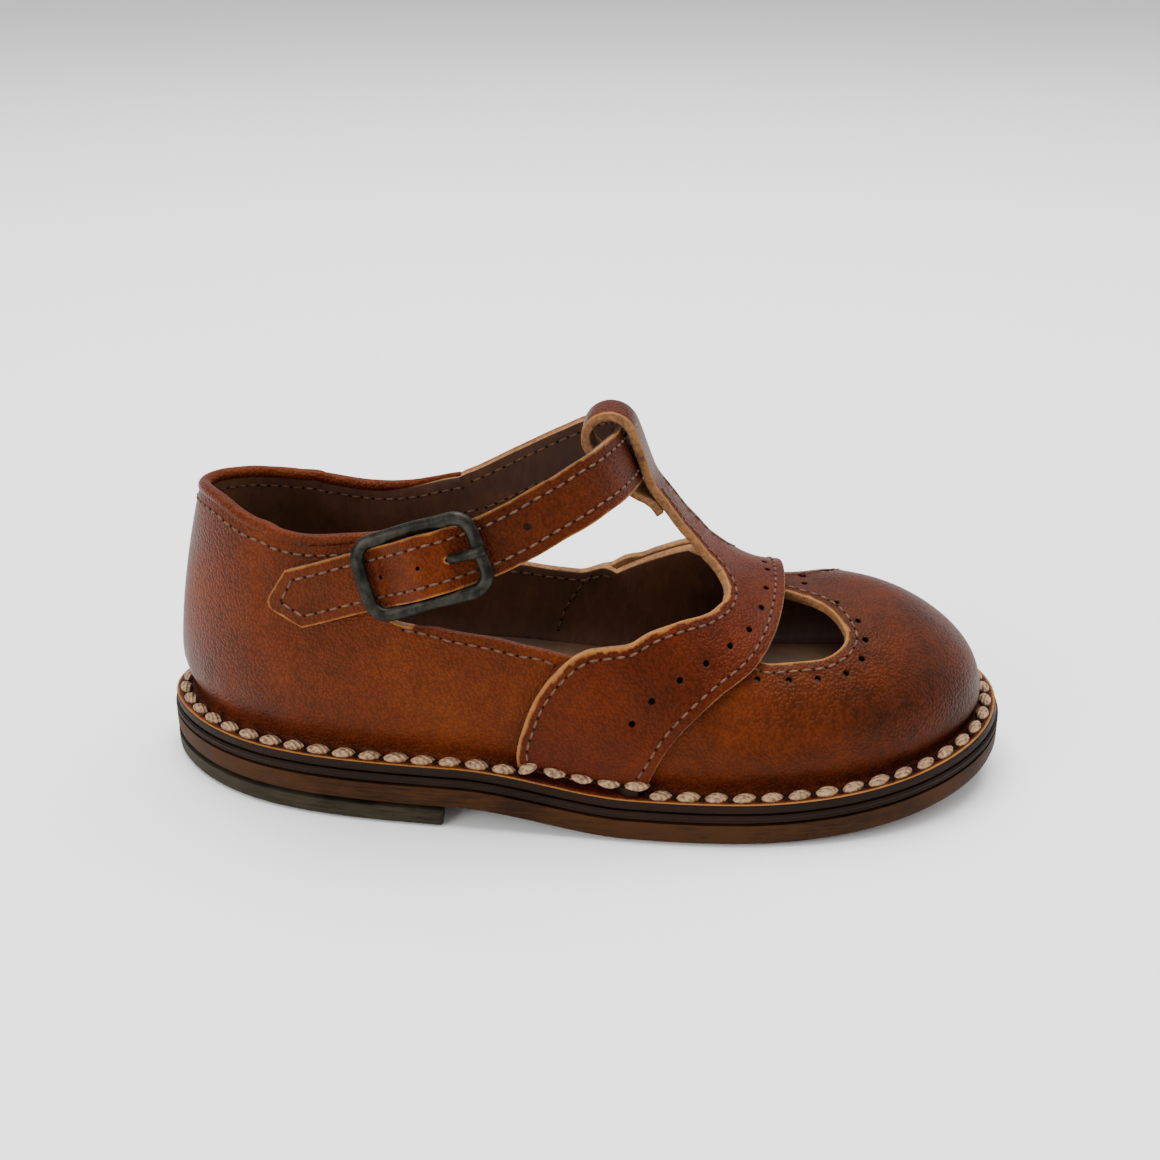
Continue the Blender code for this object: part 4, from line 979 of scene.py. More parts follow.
# Painted shade for holes: a dark finish on the walls of punched holes and on dots at the needle holes.
hole_shade = matt_dark("needle_hole_shadow", "#241008", 0.95)
black_rivet = matt_dark("black_enamel_rivet", "#121212", 0.35)

# %% [markdown]
# ## The upper
# Vamp, quarters and strap are cut from 2 mm leather with its lining. The outline is the same as the
# CAD upper's, with a finer net, real punched holes and rounded cut edges.

# %% Holes and edges of the upper
STEP = 1.5
FINE = 1.75
VAMP_HOLE = 0.54
MIRRORED = 9
VAMP_HOLES = (
    (121.3, -25.3), (127.4, -24.5), (132.9, -23.8), (138.1, -22.3), (140.9, -18.7), (141.5, -14.0),
    (140.3, -9.2), (137.3, -4.3), (131.4, 0.4), (130.9, 3.6), (136.4, 7.0),
)


def round_hole(centre, radius, count=12):
    """A loop of pattern points that is a true circle on the last."""
    centre = np.asarray(centre, float)
    du, dv = (way[0] for way in tangents(centre, WALL))
    values, ways = np.linalg.eigh(np.array([[du @ du, du @ dv], [du @ dv, dv @ dv]]))
    return centre + circle(count) * radius @ (ways / np.sqrt(values)) @ ways.T


def mirror(point):
    """A pattern point on the other side of the vamp's middle line."""
    return point[0], 2 * CUTOUT_AXIS - point[1]


def sheet(pattern, faces, low, high):
    """A sheet of the upper from pattern points."""
    return lasted(pattern, low), lasted(pattern, high), faces


def strap_rows(step):
    """Rows of the strap from its pointed tip to where it grows out of the inner quarter."""
    inner = belt.line[:, 1] > 0
    seam = belt.run[inner][np.argmin(np.abs(belt.line[inner, 0] - STRAP_SEAM_X))]
    tip = np.array([STRAP_TIP, STRAP_TIP + 0.6])
    body = np.linspace(STRAP_TIP + 2.0, seam, int((seam - STRAP_TIP - 2.0) / step) + 1)
    along = np.r_[tip, body]
    half = np.interp(along, (STRAP_TIP, STRAP_TIP + 0.6, STRAP_SHOULDER), (0.5, 1.3, STRAP_HALF))
    return along, half


# %% [markdown]
# The upper is built as four sheets: the brim's band, the strap, the quarters behind SEAM_X and the vamp
# before it. They share the points of their common borders, so they join into one solid. The first cell
# measures the way round the foot and fills band and strap; the next ones fill the rest and close it.

# %% Band and strap
half_run = FEATHER_RUN[-1] / 2
run = np.linspace(-half_run, half_run, 2400)
foot = on_ray(run, 0.0)
seam_outer = run[(run > 0) & (foot[:, 0] < SEAM_X)].max()
seam_inner = run[(run < 0) & (foot[:, 0] < SEAM_X)].min()
quarter_run = np.linspace(seam_inner, seam_outer, int((seam_outer - seam_inner) / FINE) + 1)
vamp_count = int((2 * half_run - seam_outer + seam_inner) / FINE)
vamp_run = np.linspace(seam_outer, seam_inner + 2 * half_run, vamp_count)
columns = np.r_[quarter_run, vamp_run[1:-1], quarter_run[0]]
bend_end = -BEND * np.pi / 2
rows = np.r_[BAND_TOP, 2.6, 1.3, np.linspace(0, bend_end, 6), bend_end - BRIM_ROLL * np.array([0.5, 1.0])]
band = np.vstack([on_ray(columns, up) for up in rows[::-1]])
sheets = [sheet(band, grid_faces(len(rows), len(columns)), 0.0, WALL)]

ACROSS = 9
STRAP_HOLE = 0.7
STRAP_HOLES = (-8.0, 0.2)
PRONG_SLOT = 6.6
SLOT_HALF = (1.9, 1.05)
STRAP_NET = 1.45
along, half = strap_rows(STEP)
edge_low, edge_high = np.c_[along, -half], np.c_[along, half]
end = np.c_[np.full(ACROSS, along[-1]), np.linspace(-half[-1], half[-1], ACROSS)]
strap_outline = np.vstack([edge_low[:-1], end, edge_high[::-1][1:]])
strap_loops = [circle(14) * STRAP_HOLE + [spot, 0.0] for spot in STRAP_HOLES]
strap_loops.append(circle(14) * SLOT_HALF + [PRONG_SLOT, 0.0])
flat, faces = fill([strap_outline] + strap_loops, STRAP_NET)
strap_pattern = belt.pattern(flat[:, 0], flat[:, 1])
low = strap_lift(flat[:, 0])
sheets.append((lasted(strap_pattern, low), lasted(strap_pattern, low + WALL), faces[:, ::-1]))
root = belt.pattern(end[:, 0], end[:, 1])

# %% [markdown]
# The quarters wrap the heel, where pattern points fan out. So they are filled in other coordinates: the
# distance round the feather line, and the distance up from the bend.

# %% Quarters
outer_top = smooth_run(side_view(OUTER_EDGE, -1), STEP)
tab_top = side_view(OUTER_TAB[:1], -1)
collar = smooth_run([*COLLAR, root[-1]], STEP)
collar = np.vstack([smooth_run([tab_top[0], COLLAR[0]], STEP)[:-1], collar])
tab = smooth_run(side_view(OUTER_TAB, -1)[::-1], STEP)
notch = smooth_run(side_view(OUTER_NOTCH, -1)[::-1], STEP)
inner_top = smooth_run(np.vstack([root[:1], side_view(INNER_EDGE, 1)]), STEP)
seam_up_outer = smooth_run([on_ray([seam_outer], BAND_TOP)[0], outer_top[-1]], STEP)
seam_up_inner = smooth_run([inner_top[-1], on_ray([seam_inner], BAND_TOP)[0]], STEP)
foot_line = on_ray(quarter_run, BAND_TOP)
outline = np.vstack([foot_line, seam_up_outer[1:], outer_top[::-1][1:], notch[1:], tab[1:], collar[1:-1],
                     root[::-1], inner_top[1:], seam_up_inner[1:-1]])
flat = round_heel(outline)
points, faces = fill([flat], FINE)
tree = tree_of(flat)
quarter = on_ray(points[:, 0], points[:, 1])
for i, point in enumerate(points):
    _, k, away = tree.find((*point, 0.0))
    if away < 1e-4:
        quarter[i] = outline[k]
sheets.append(sheet(quarter, faces, 0.0, WALL))

# %% [markdown]
# The vamp runs from the openings to the toe, with the two cut-outs and the punched holes round them. The
# inner cut-out mirrors the outer one, and so do the first MIRRORED holes. The last two holes lie past
# the middle line, close to mirrored ones.

# %% Vamp
inner_front = side_view(smooth_run(INNER_EDGE_FRONT, STEP), 1)
opening = smooth_run([outer_top[-1], *OPENING_FRONT, inner_front[0]], STEP)
opening = np.vstack([opening, inner_front[1:-1], inner_top[-1:]])
vamp = np.vstack([opening, seam_up_inner[1:-1], on_ray(vamp_run[::-1], BAND_TOP), seam_up_outer[1:-1]])
outer_hole = closed_curve(CUTOUT, 60)
inner_hole = outer_hole * [1, -1] + [0, 2 * CUTOUT_AXIS]
vamp_holes = [*VAMP_HOLES, *[mirror(p) for p in VAMP_HOLES[:MIRRORED]]]
punched = [round_hole(p, VAMP_HOLE) for p in vamp_holes]
points, faces = fill_pattern([vamp, outer_hole, inner_hole] + punched, FINE)
sheets.append(sheet(points, faces, 0.0, WALL))

# %% [markdown]
# The four sheets become one closed solid. Its cut faces get their own finishes, and each point gets two
# numbers for the leather: how worn it is, and a tone that is darker towards the toe and the strap's front,
# with painted shade low on the wall by the sole.

# %% Upper
TOE_TONE = -0.13
HEM_SHADE = -0.06
STRAP_TONE = -0.12
INKED_UP = 5.0
DYED_EDGE = 1.6
UPPER_HOLE_REACH = 2.0


def finish_edges(points, faces, zones, holes, radius):
    """Cut faces on the brim become inked, and those within a radius of a hole's centre get painted shade."""
    middle = np.array([points[list(face)].mean(0) for face in faces])
    zones = np.array(zones)
    zones[(zones == CUT) & (middle[:, 2] < seat(middle[:, 0]) + INKED_UP)] = INKED
    cut = np.flatnonzero(zones == CUT)
    zones[cut[distance(middle[cut], holes) < radius]] = SHADED_HOLE
    return points, faces, zones


points, faces, zones = shell(*joined(sheets))
strap_marks = np.array([*STRAP_HOLES, PRONG_SLOT])
strap_spots = belt.place(strap_marks, 0.0, strap_lift(strap_marks) + 1.0)
hole_spots = np.vstack([lasted(vamp_holes, 1.0), strap_spots])
points, faces, zones = finish_edges(points, faces, zones, hole_spots, UPPER_HOLE_REACH)
centres = np.array([points[list(face)].mean(0) for face in faces])
zones[(zones == CUT) & (distance(centres, lasted(outer_top, 1.0)) < DYED_EDGE)] = FACE
upper_finishes = [vamp_leather, pig_lining, bare_edge, black_edge, hole_shade]
upper = new_piece("upper_leather", points, faces, upper_finishes, zones, replaces=["upper"])
worn(upper, points, faces, zones)
# Tone: darker towards the toe and at the front of the strap; near the sole the darkening is painted shade.
toe = np.clip((points[:, 0] - 100.0) / 45.0, 0, 1)
hem = np.clip(1.5 - (points[:, 2] - seat(points[:, 0])) / 8.0, 0, 1)
strap_front = np.clip((points[:, 0] - 62.0) / 15.0, 0, 1) * (points[:, 2] > 50.0)
attribute(upper, "tone", TOE_TONE * toe + HEM_SHADE * hem + STRAP_TONE * strap_front)
shade(upper, 60.0)
print("upper:", len(upper.data.polygons), "faces")

# %% [markdown]
# ## The saddle
# A second layer lies over vamp and quarters. Its long tongue is the T-bar: it climbs the instep, loops
# round the strap and is sewn down behind itself.

# %% Saddle
def bar_loop(across):
    """Rows of the T-bar from BAR_ROW up the strap, over it in a loop, and down to its sewn end."""
    low, high = SADDLE_LIFT, SADDLE_LIFT + OVERLAY
    rows = []
    for u, slack in resample(np.array(BAR_CLIMB), 14):
        pattern = np.c_[np.full(len(across), u), across]
        rows.append((lasted(pattern, low + slack), lasted(pattern, high + slack)))
    top_inner, top_outer = rows[-1]
    out = top_outer[len(across) // 2] - top_inner[len(across) // 2]
    out /= np.linalg.norm(out)
    climb = np.cross(out, [0.0, 1.0, 0.0])
    climb *= np.sign(climb[2])
    for turn in np.radians(np.linspace(0, LOOP_TURN, 22))[1:]:
        shift = LOOP_RADIUS * ((math.cos(turn) - 1) * out + math.sin(turn) * climb)
        facing = math.cos(turn) * out + math.sin(turn) * climb
        middle = 0.5 * (top_inner + top_outer) + shift
        rows.append((middle - facing * OVERLAY / 2, middle + facing * OVERLAY / 2))
    for u, lift in resample(np.array(BAR_TAIL), 20):
        pattern = np.c_[np.full(len(across), u), across]
        rows.append((lasted(pattern, lift), lasted(pattern, lift - OVERLAY)))
    return rows


def sole_foot(x, side, past):
    """Pattern points beyond the feather line, on the brim."""
    x = np.atleast_1d(x)
    return np.c_[x, side * (side_girth(x, side) + past)]


PAST = BEND * np.pi / 2 + 2.4
SADDLE_HOLE = 0.58
SADDLE_NET = 1.6
SADDLE_HOLE_REACH = 1.6
SADDLE_HOLES = (
    (123.2, 1.0), (122.6, -4.4), (121.4, -10.3), (118.6, -16.8), (114.8, -22.6), (110.6, -29.4),
    (106.2, -36.8), (101.6, -45.6), (98.3, -53.6),
)
FLIP = np.array([1, -1])
low, high = SADDLE_LIFT, SADDLE_LIFT + OVERLAY
across = np.linspace(-BAR_HALF, BAR_HALF, ACROSS)
rear_foot, front_foot = SADDLE_FOOT
inner_low = side_view(SADDLE_REAR_INNER, 1)
rear_outer = smooth_run([sole_foot(rear_foot - 0.4, -1, PAST)[0], *SADDLE_REAR], STEP)
rear_inner = smooth_run(np.vstack([sole_foot(rear_foot + 0.4, 1, PAST), inner_low]), STEP)
neck = smooth_run([SADDLE_CORNER[-1], (BAR_ROW, -BAR_HALF)], 1.3)[1:-1]
neck = np.vstack([smooth_run(SADDLE_CORNER, 1.2), neck])
top = np.c_[np.full(ACROSS, BAR_ROW), across]
front_ends = [sole_foot(front_foot, side, PAST)[0] for side in (-1, 1)]
front = smooth_run([front_ends[0], *SADDLE_FRONT, front_ends[1]], STEP)
foot_outer = smooth_run([front[0], rear_outer[0]], STEP)
foot_inner = smooth_run([rear_inner[0], front[-1]], STEP)
outline = np.vstack([rear_outer[:-1], neck, top, (neck * FLIP)[::-1], rear_inner[::-1], foot_inner[1:],
                     front[::-1][1:], foot_outer[1:-1]])
saddle_holes = [*SADDLE_HOLES, *[(u, -v) for u, v in SADDLE_HOLES[1:]]]
punched = [round_hole(p, SADDLE_HOLE) for p in saddle_holes]
points, faces = fill_pattern([outline] + punched, SADDLE_NET)
sheets = [sheet(points, faces, low, high)]
inner_rows, outer_rows = zip((lasted(top, low), lasted(top, high)), *bar_loop(across))
sheets.append((np.vstack(inner_rows), np.vstack(outer_rows), grid_faces(len(inner_rows), ACROSS)))
points, faces, zones = shell(*joined(sheets))
hole_spots = lasted(saddle_holes, high - 1.0)
points, faces, zones = finish_edges(points, faces, zones, hole_spots, SADDLE_HOLE_REACH)
saddle_finishes = [saddle_leather, flesh_side, bare_edge, black_edge, hole_shade]
saddle = new_piece("saddle_leather", points, faces, saddle_finishes, zones, replaces=["instep_saddle"])
worn(saddle, points, faces, zones, 1.9, lasted(front, high))
shade(saddle, 60.0)
print("saddle:", len(saddle.data.polygons), "faces")

# %% [markdown]
# ## The sole
# Insole, midsole and outsole are layers drawn from one outline. Each is a stack of rings that follow the
# ground line, from the bottom up, closed by a cap at both ends. A groove runs round the midsole's edge.

# %% Sole layers
GROOVE_UP = 5.75
GROOVE_HALF = 0.25
GROOVE_DEEP = 0.12


def sole_layer(name, curve, rows, finish, slot, node, under=ground):
    """A layer of the sole; rows say how far in its side is, and how far above the line under it."""
    rings = [inset(curve, away) for away, _ in rows]
    count = len(curve)
    points, faces = [], []
    for end, ring in ((0, rings[0]), (-1, rings[-1])):
        flat, cap = fill([ring], 6.0)
        faces += [tuple(f + sum(len(p) for p in points)) for f in (cap[:, ::-1] if end == 0 else cap)]
        points.append(np.c_[flat, under(flat[:, 0]) + rows[end][1]])
    first = sum(len(p) for p in points)
    points += [np.c_[ring, under(ring[:, 0]) + up] for ring, (_, up) in zip(rings, rows)]
    for r in range(len(rows) - 1):
        for i in range(count):
            a, b = first + r * count + i, first + r * count + (i + 1) % count
            faces.append((a, b, b + count, a + count))
    return finished(name, np.vstack(points), faces, finish, slot, [node], 35.0)


def finished(name, points, faces, finish, slot, replaces=(), angle=50.0):
    """A closed piece with its faces out and soft shading."""
    piece = new_piece(name, points, faces, [finish], replaces=replaces)
    point_outwards(piece)
    shade(piece, angle)
    return piece


edge = closed_curve(OUTLINE, 300)
outsole_rows = ((1.0, 0.0), (0.3, 0.5), (0.0, 1.4), (0.0, OUTSOLE_THICK))
sole_layer("outsole_leather", edge, outsole_rows, brown_edge, "sole_leather", "outsole")
welt = OUTSOLE_THICK + GAP
groove = ((0.0, GROOVE_UP - GROOVE_HALF), (GROOVE_DEEP, GROOVE_UP), (0.0, GROOVE_UP + GROOVE_HALF))
midsole_rows = ((0.5, welt), (0.0, welt + 0.4), *groove, (0.0, SOLE_STACK - 0.4), (0.4, SOLE_STACK))
sole_layer("midsole_edge", edge, midsole_rows, black_edge, "midsole_black", "midsole")
insole_edge = inset(closed_curve(OUTLINE, 200), BRIM + WALL + 0.5)
base = SOLE_STACK + 0.4
insole_rows = ((0.0, base), (0.0, base + 4.1), (0.25, base + 4.6), (0.9, base + 4.9))
sole_layer("insole_board", insole_edge, insole_rows, footbed_leather, "insole_leather", "insole")

# %% [markdown]
# ## Buckle, elastic and rivet
# Bars are tubes along a line: the rolled collar, the buckle's frame, its pin and its prong. The elastic
# is a thin sheet with fine ribs that lies on the quarter and then turns round the pin.

# %% Collar, buckle and elastic
def tube(centres, wide, deep, closed, sides):
    """Points and faces of a bar along a line, given its centres and two cross directions per point."""
    path, side, up = centres
    cos, sin = circle(sides).T
    count = len(path)
    wide, deep = (np.broadcast_to(size, count)[:, None, None] for size in (wide, deep))
    ring = path[:, None] + wide * cos[None, :, None] * side[:, None]
    ring = ring + deep * sin[None, :, None] * up[:, None]
    faces = []
    for i in range(count if closed else count - 1):
        for j in range(sides):
            k, after = (j + 1) % sides, (i + 1) % count
            faces.append((i * sides + j, i * sides + k, after * sides + k, after * sides + j))
    if not closed:
        faces += [tuple(range(sides))[::-1], tuple((count - 1) * sides + j for j in range(sides))]
    return ring.reshape(-1, 3), faces


def bar_frame(path, up, closed=False):
    """Centres and cross directions along a line for a tube, given the outward directions."""
    way = np.roll(path, -1, 0) - np.roll(path, 1, 0) if closed else np.gradient(path, axis=0)
    along = unit(way, 1e-12)
    side = unit(np.cross(along, up), 1e-12)
    return path, side, np.cross(side, along)


def belt_bar(a, b, h, closed=False):
    """A tube's centres and cross directions at places on the strap."""
    a, b, h = np.broadcast_arrays(np.asarray(a, float), b, h)
    return bar_frame(belt.place(a, b, h), face_out(belt.pattern(a, b)), closed)


ROLL_HALF = 1.3
ROLL_LIFT = 1.05
from_end = np.minimum(np.arange(len(collar)), np.arange(len(collar))[::-1])
roll_half = ROLL_HALF * np.clip(from_end / 12.0, 0.25, 1.0) ** 0.5
roll_line = bar_frame(lasted(collar, ROLL_LIFT), face_out(collar))
finished("collar_roll", *tube(roll_line, roll_half, roll_half, False, 14), vamp_leather, "upper_leather")

# Buckle frame: a rounded band, a little flat, with a thin bar under the strap
BUCKLE_HALF = (11.2, 6.9)
BUCKLE_CORNER = 3.4
BUCKLE_HEIGHT = 6.8
PIN_HEIGHT = 5.3
ring = []
for quarter_turn, (sx, sy) in enumerate(((1, 1), (-1, 1), (-1, -1), (1, -1))):
    mid_a, mid_b = sx * (BUCKLE_HALF[0] - BUCKLE_CORNER), sy * (BUCKLE_HALF[1] - BUCKLE_CORNER)
    for angle in np.linspace(0, np.pi / 2, 9) + quarter_turn * np.pi / 2:
        ring.append((mid_a + BUCKLE_CORNER * math.cos(angle), mid_b + BUCKLE_CORNER * math.sin(angle)))
ring = resample(looped(np.array(ring)), 121)[:-1]
band_line = belt_bar(ring[:, 0], ring[:, 1], BUCKLE_HEIGHT, True)
finished("buckle_band", *tube(band_line, 1.3, 0.9, True, 16), gunmetal, "buckle_metal", ["buckle_frame"])
b = np.linspace(-BUCKLE_HALF[1], BUCKLE_HALF[1], 25)
dip = PIN_HEIGHT + (BUCKLE_HEIGHT - PIN_HEIGHT) * (np.abs(b) / BUCKLE_HALF[1]) ** 8
finished("buckle_pin", *tube(belt_bar(0.0, b, dip), 0.7, 0.7, False, 12), gunmetal, "buckle_metal")
PRONG = ((2.6, 5.2), (3.6, 5.8), (5.4, 6.9), (7.8, 8.0), (10.2, 8.85), (12.6, 8.9))
prong = smooth_run(PRONG, 0.5)
prong_bar = tube(belt_bar(prong[:, 0], 0.0, prong[:, 1]), 0.95, 0.75, False, 12)
finished("buckle_tongue", *prong_bar, gunmetal, "buckle_metal", ["buckle_prong"])

# Elastic: flat on the quarter, then most of the way round the pin
ELASTIC_HALF = 4.2
ELASTIC_THICK = 0.6
ELASTIC_TURN = 1.4
RIB = 0.06
RIB_ROWS = 29
middle = WALL + GAP + ELASTIC_THICK / 2
turns = np.linspace(-math.pi / 2, math.radians(160), 20)
flat_line = [(-26.5, middle), (-14.0, middle), (-8.0, middle), (-4.5, middle + 0.1), (-2.4, middle + 0.6)]
flat_line = smooth_run(flat_line, 0.9)
path_a = np.r_[flat_line[:, 0], ELASTIC_TURN * np.cos(turns)]
path_h = np.r_[flat_line[:, 1], PIN_HEIGHT + ELASTIC_TURN * np.sin(turns)]
slope = unit(np.stack([np.gradient(path_a), np.gradient(path_h)], 1))
across = np.linspace(-ELASTIC_HALF, ELASTIC_HALF, RIB_ROWS)
half_thick = ELASTIC_THICK / 2 + RIB * np.cos(np.arange(RIB_ROWS) * np.pi)
tape_sides = []
for side in (half_thick, -half_thick):
    tape_rows = [belt.place(spot_a + dh * side, across, spot_h - da * side)
                 for spot_a, spot_h, (da, dh) in zip(path_a, path_h, slope)]
    tape_sides.append(np.vstack(tape_rows))
points, faces, _ = shell(*tape_sides, grid_faces(len(path_a), RIB_ROWS), 0.05)
finished("elastic_tape", points, faces, woven_elastic, "black_elastic", ["buckle_elastic"])

# %% [markdown]
# The rivet is turned as on a lathe: a profile of radius and height pairs goes round an axis that stands
# square on the quarter. It passes through the quarter and the elastic's end, with its cap inside.

# %% Rivet
RIVET_SPOT = (35.5, 45.0)
RIVET_PROFILE = (
    (0.0, -1.6), (1.0, -1.58), (1.9, -1.5), (2.6, -1.25), (3.1, -0.85), (3.2, -0.6), (3.2, -0.45),
    (1.4, -0.45), (1.4, 2.9), (0.0, 2.9),
)


def turned(name, centre, axis, profile, finish, slot, replaces=(), sides=36):
    """A round piece turned about an axis from radius and height pairs, closed at both ends."""
    axis = axis / np.linalg.norm(axis)
    side = np.cross(axis, [1.0, 0.0, 0.0])
    side /= np.linalg.norm(side)
    other = np.cross(axis, side)
    cos, sin = circle(sides).T
    rings = [centre + axis * h + r * (cos[:, None] * side + sin[:, None] * other) for r, h in profile[1:-1]]
    points = np.vstack([[centre + axis * profile[0][1]], *rings, [centre + axis * profile[-1][1]]])
    last = 1 + (len(rings) - 1) * sides
    faces = []
    for j in range(sides):
        k = (j + 1) % sides
        faces += [(0, 1 + k, 1 + j), (last + j, last + k, len(points) - 1)]
        faces += [(r + j, r + k, r + sides + k, r + sides + j) for r in range(1, last, sides)]
    return finished(name, points, faces, finish, slot, replaces)


spot = side_view([RIVET_SPOT], -1)
rivet_centre, rivet_axis = lasted(spot, 0.0)[0], face_out(spot)[0]
turned("rivet_cap", rivet_centre, rivet_axis, RIVET_PROFILE, black_rivet, "rivet_black", ["rivet"])

# %% [markdown]
# The heel lift is one more sole layer. It lies flat on the floor and is cut off at LIFT_FRONT.

# %% Heel lift
back = edge[edge[:, 0] < LIFT_FRONT - 0.6]
turn = int(np.argmax(np.linalg.norm(np.diff(back, axis=0), axis=1))) + 1
back = np.roll(back, -turn, axis=0)
inner_end, outer_end = back[0].copy(), back[-1].copy()
inner_end[0], outer_end[0] = LIFT_FRONT, LIFT_FRONT
breast = smooth_run((outer_end, (LIFT_FRONT - 2.4, 0.5 * (inner_end[1] + outer_end[1])), inner_end), 1.4)
lift_edge = resample(looped(np.vstack([back, breast])), 241)[:-1]
lift_rows = [(1.0, 0.0), (0.35, 0.25), (0.1, 0.7), (0.0, 1.4)]
lift_rows += [(0.0, LIFT_RISE - 0.4), (0.25, LIFT_RISE - GAP)]
sole_layer("rubber_lift", lift_edge, lift_rows, dark_rubber, "lift_rubber", "heel_lift", np.zeros_like)

# %% [markdown]
# ## Stitches
# Each stitch is modelled once and copied along its row, with a dark dot at each end that is painted shade
# for the needle hole. The cord that joins upper to sole is thick and waxed; the rest is fine thread, about
# ten stitches an inch.

# %% One stitch, one hole
def modelled(add_shape, scale, **settings):
    """A primitive shaped by scale, given back as points and faces, its object removed."""
    bpy.ops.object.select_all(action="DESELECT")
    add_shape(location=(0, 0, 0), **settings)
    thing = bpy.context.active_object
    bpy.ops.transform.resize(value=scale)
    bpy.ops.object.transform_apply(location=False, rotation=False, scale=True)
    points = np.array([v.co[:] for v in thing.data.vertices])
    faces = [tuple(p.vertices) for p in thing.data.polygons]
    bpy.data.objects.remove(thing, do_unlink=True)
    return points, faces


sphere = bpy.ops.mesh.primitive_uv_sphere_add
bead_points, bead_faces = modelled(sphere, (1, 1, 1), segments=12, ring_count=9, radius=1.0)
narrowed = 1.0 - 0.28 * bead_points[:, :1] ** 2
cord_bead = np.c_[bead_points[:, :1], bead_points[:, 1:] * narrowed], bead_faces
fine_bead = modelled(sphere, (1, 1, 1), segments=8, ring_count=5, radius=1.0)


def laid(name, base, spots, along, up, size, finish, slot="upper_leather"):
    """Copies of a base shape at many spots, in one piece; size is half length, half width, half height."""
    points, faces = base
    along = unit(along)
    side = unit(np.cross(up, along))
    up = np.cross(along, side)
    size = np.broadcast_to(np.asarray(size, float), (len(spots), 3))
    axes = np.stack([along * size[:, :1], side * size[:, 1:2], up * size[:, 2:]], 1)
    copies = spots[:, None] + np.einsum("pk,nkj->npj", points, axes)
    n = len(points)
    all_faces = [tuple(v + i * n for v in face) for i in range(len(spots)) for face in faces]
    piece = new_piece(name, copies.reshape(-1, 3), all_faces, [finish])
    attribute(piece, "strand", np.tile(points[:, 0] + points[:, 1] * 1.1, len(spots)))
    shade(piece, 80)
    return piece


def spread(path, pitch):
    """Distances along a line in space: of its points, of each stitch's middle, and of the stitches' ends."""
    along = along_line(path)
    count = max(1, int(round(along[-1] / pitch)))
    marks = (np.arange(count) + 0.5) * along[-1] / count
    ends = np.arange(count + 1) * along[-1] / count
    return along, marks, ends


def at(values, along, marks):
    """Values on a line at given distances."""
    return np.stack([np.interp(marks, along, values[:, i]) for i in range(3)], 1)


FINE_PITCH = 2.5
FINE_STITCH = (0.95, 0.27, 0.24)
NEEDLE_HOLE = (0.30, 0.30, 0.09)


def fine_row(name, path, up, raised=0.0):
    """Fine stitches on a line in space, raised a little, and dots of painted shade for the needle holes at
    their ends.
    """
    along, marks, ends = spread(path, FINE_PITCH)
    way = np.gradient(path, axis=0)
    up_at = at(up, along, marks)
    middle = at(path, along, marks) + raised * up_at
    laid(name, fine_bead, middle, at(way, along, marks), up_at, FINE_STITCH, tan_thread)
    holes = at(path, along, ends), at(way, along, ends), at(up, along, ends)
    # Dark dots at the stitches' ends: painted shade for the needle holes.
    laid(name + "_holes", fine_bead, *holes, NEEDLE_HOLE, hole_shade)


def stitch_row(name, pattern, lift, inner=None):
    """A row of fine stitches on pattern points, at a lift on the outer face, the inner face or both."""
    for side, height, sign in (("", lift, 1.0), ("_inside", inner, -1.0)):
        if height is not None:
            fine_row(name + side, lasted(pattern, height), face_out(pattern) * sign, 0.02)


# %% [markdown]
# The cord's stitches vary a little in size and slant, as hand-sewn ones do. Random numbers from a fixed
# seed give that, so the shoe comes out the same each time. Over the saddle's feet the cord lies higher.

# %% Cord round the sole
CORD_PITCH = 5.3
CORD_HALF = ((2.35, 0.10), (1.26, 0.06), (1.05, 0.06))
CORD_SLANT = (0.15, 0.05)
CORD_HOLE = (0.75, 1.0, 0.25)
CORD_OUT = BEND * np.pi / 2 + 1.45
run = np.linspace(-half_run, half_run, 2400)[:-1]
cord_pattern = on_ray(run, -CORD_OUT)
place_x = cord_pattern[:, 0]
past_rear = np.clip((place_x - (rear_foot - 1.0)) / 2.0, 0, 1)
before_front = np.clip((front_foot + 2.2 - place_x) / 2.0, 0, 1)
covered = past_rear * before_front * (lasted(cord_pattern, 0)[:, 0] > 40)
path = looped(lasted(cord_pattern, WALL + covered * (SADDLE_LIFT + OVERLAY - WALL)))
up = looped(face_out(cord_pattern))
along, marks, ends = spread(path, CORD_PITCH)
way = np.gradient(path, axis=0)
rng = np.random.default_rng(7)
n = len(marks)
size = np.stack([rng.normal(middle, spread_by, n) for middle, spread_by in CORD_HALF], 1)
up_at, way_at = at(up, along, marks), unit(at(way, along, marks))
way_at = way_at + np.cross(up_at, way_at) * rng.normal(*CORD_SLANT, n)[:, None]
laid("sole_cord", cord_bead, at(path, along, marks) + up_at * 0.25, way_at, up_at, size, cream_cord)
# Dark dots between the cord's stitches: painted shade for the needle holes.
ends = ends[:-1]
hole_up = at(up, along, ends)
hole_spots = at(path, along, ends) + hole_up * 0.12
laid("sole_cord_holes", fine_bead, hole_spots, at(way, along, ends), hole_up, CORD_HOLE, hole_shade)
print("cord stitches:", n)

# %% [markdown]
# Fine thread runs about 2 mm inside the cut edges. Where leather and lining are sewn together, the same
# row shows on the inner face too. The strap's rows also follow its pointed tip.

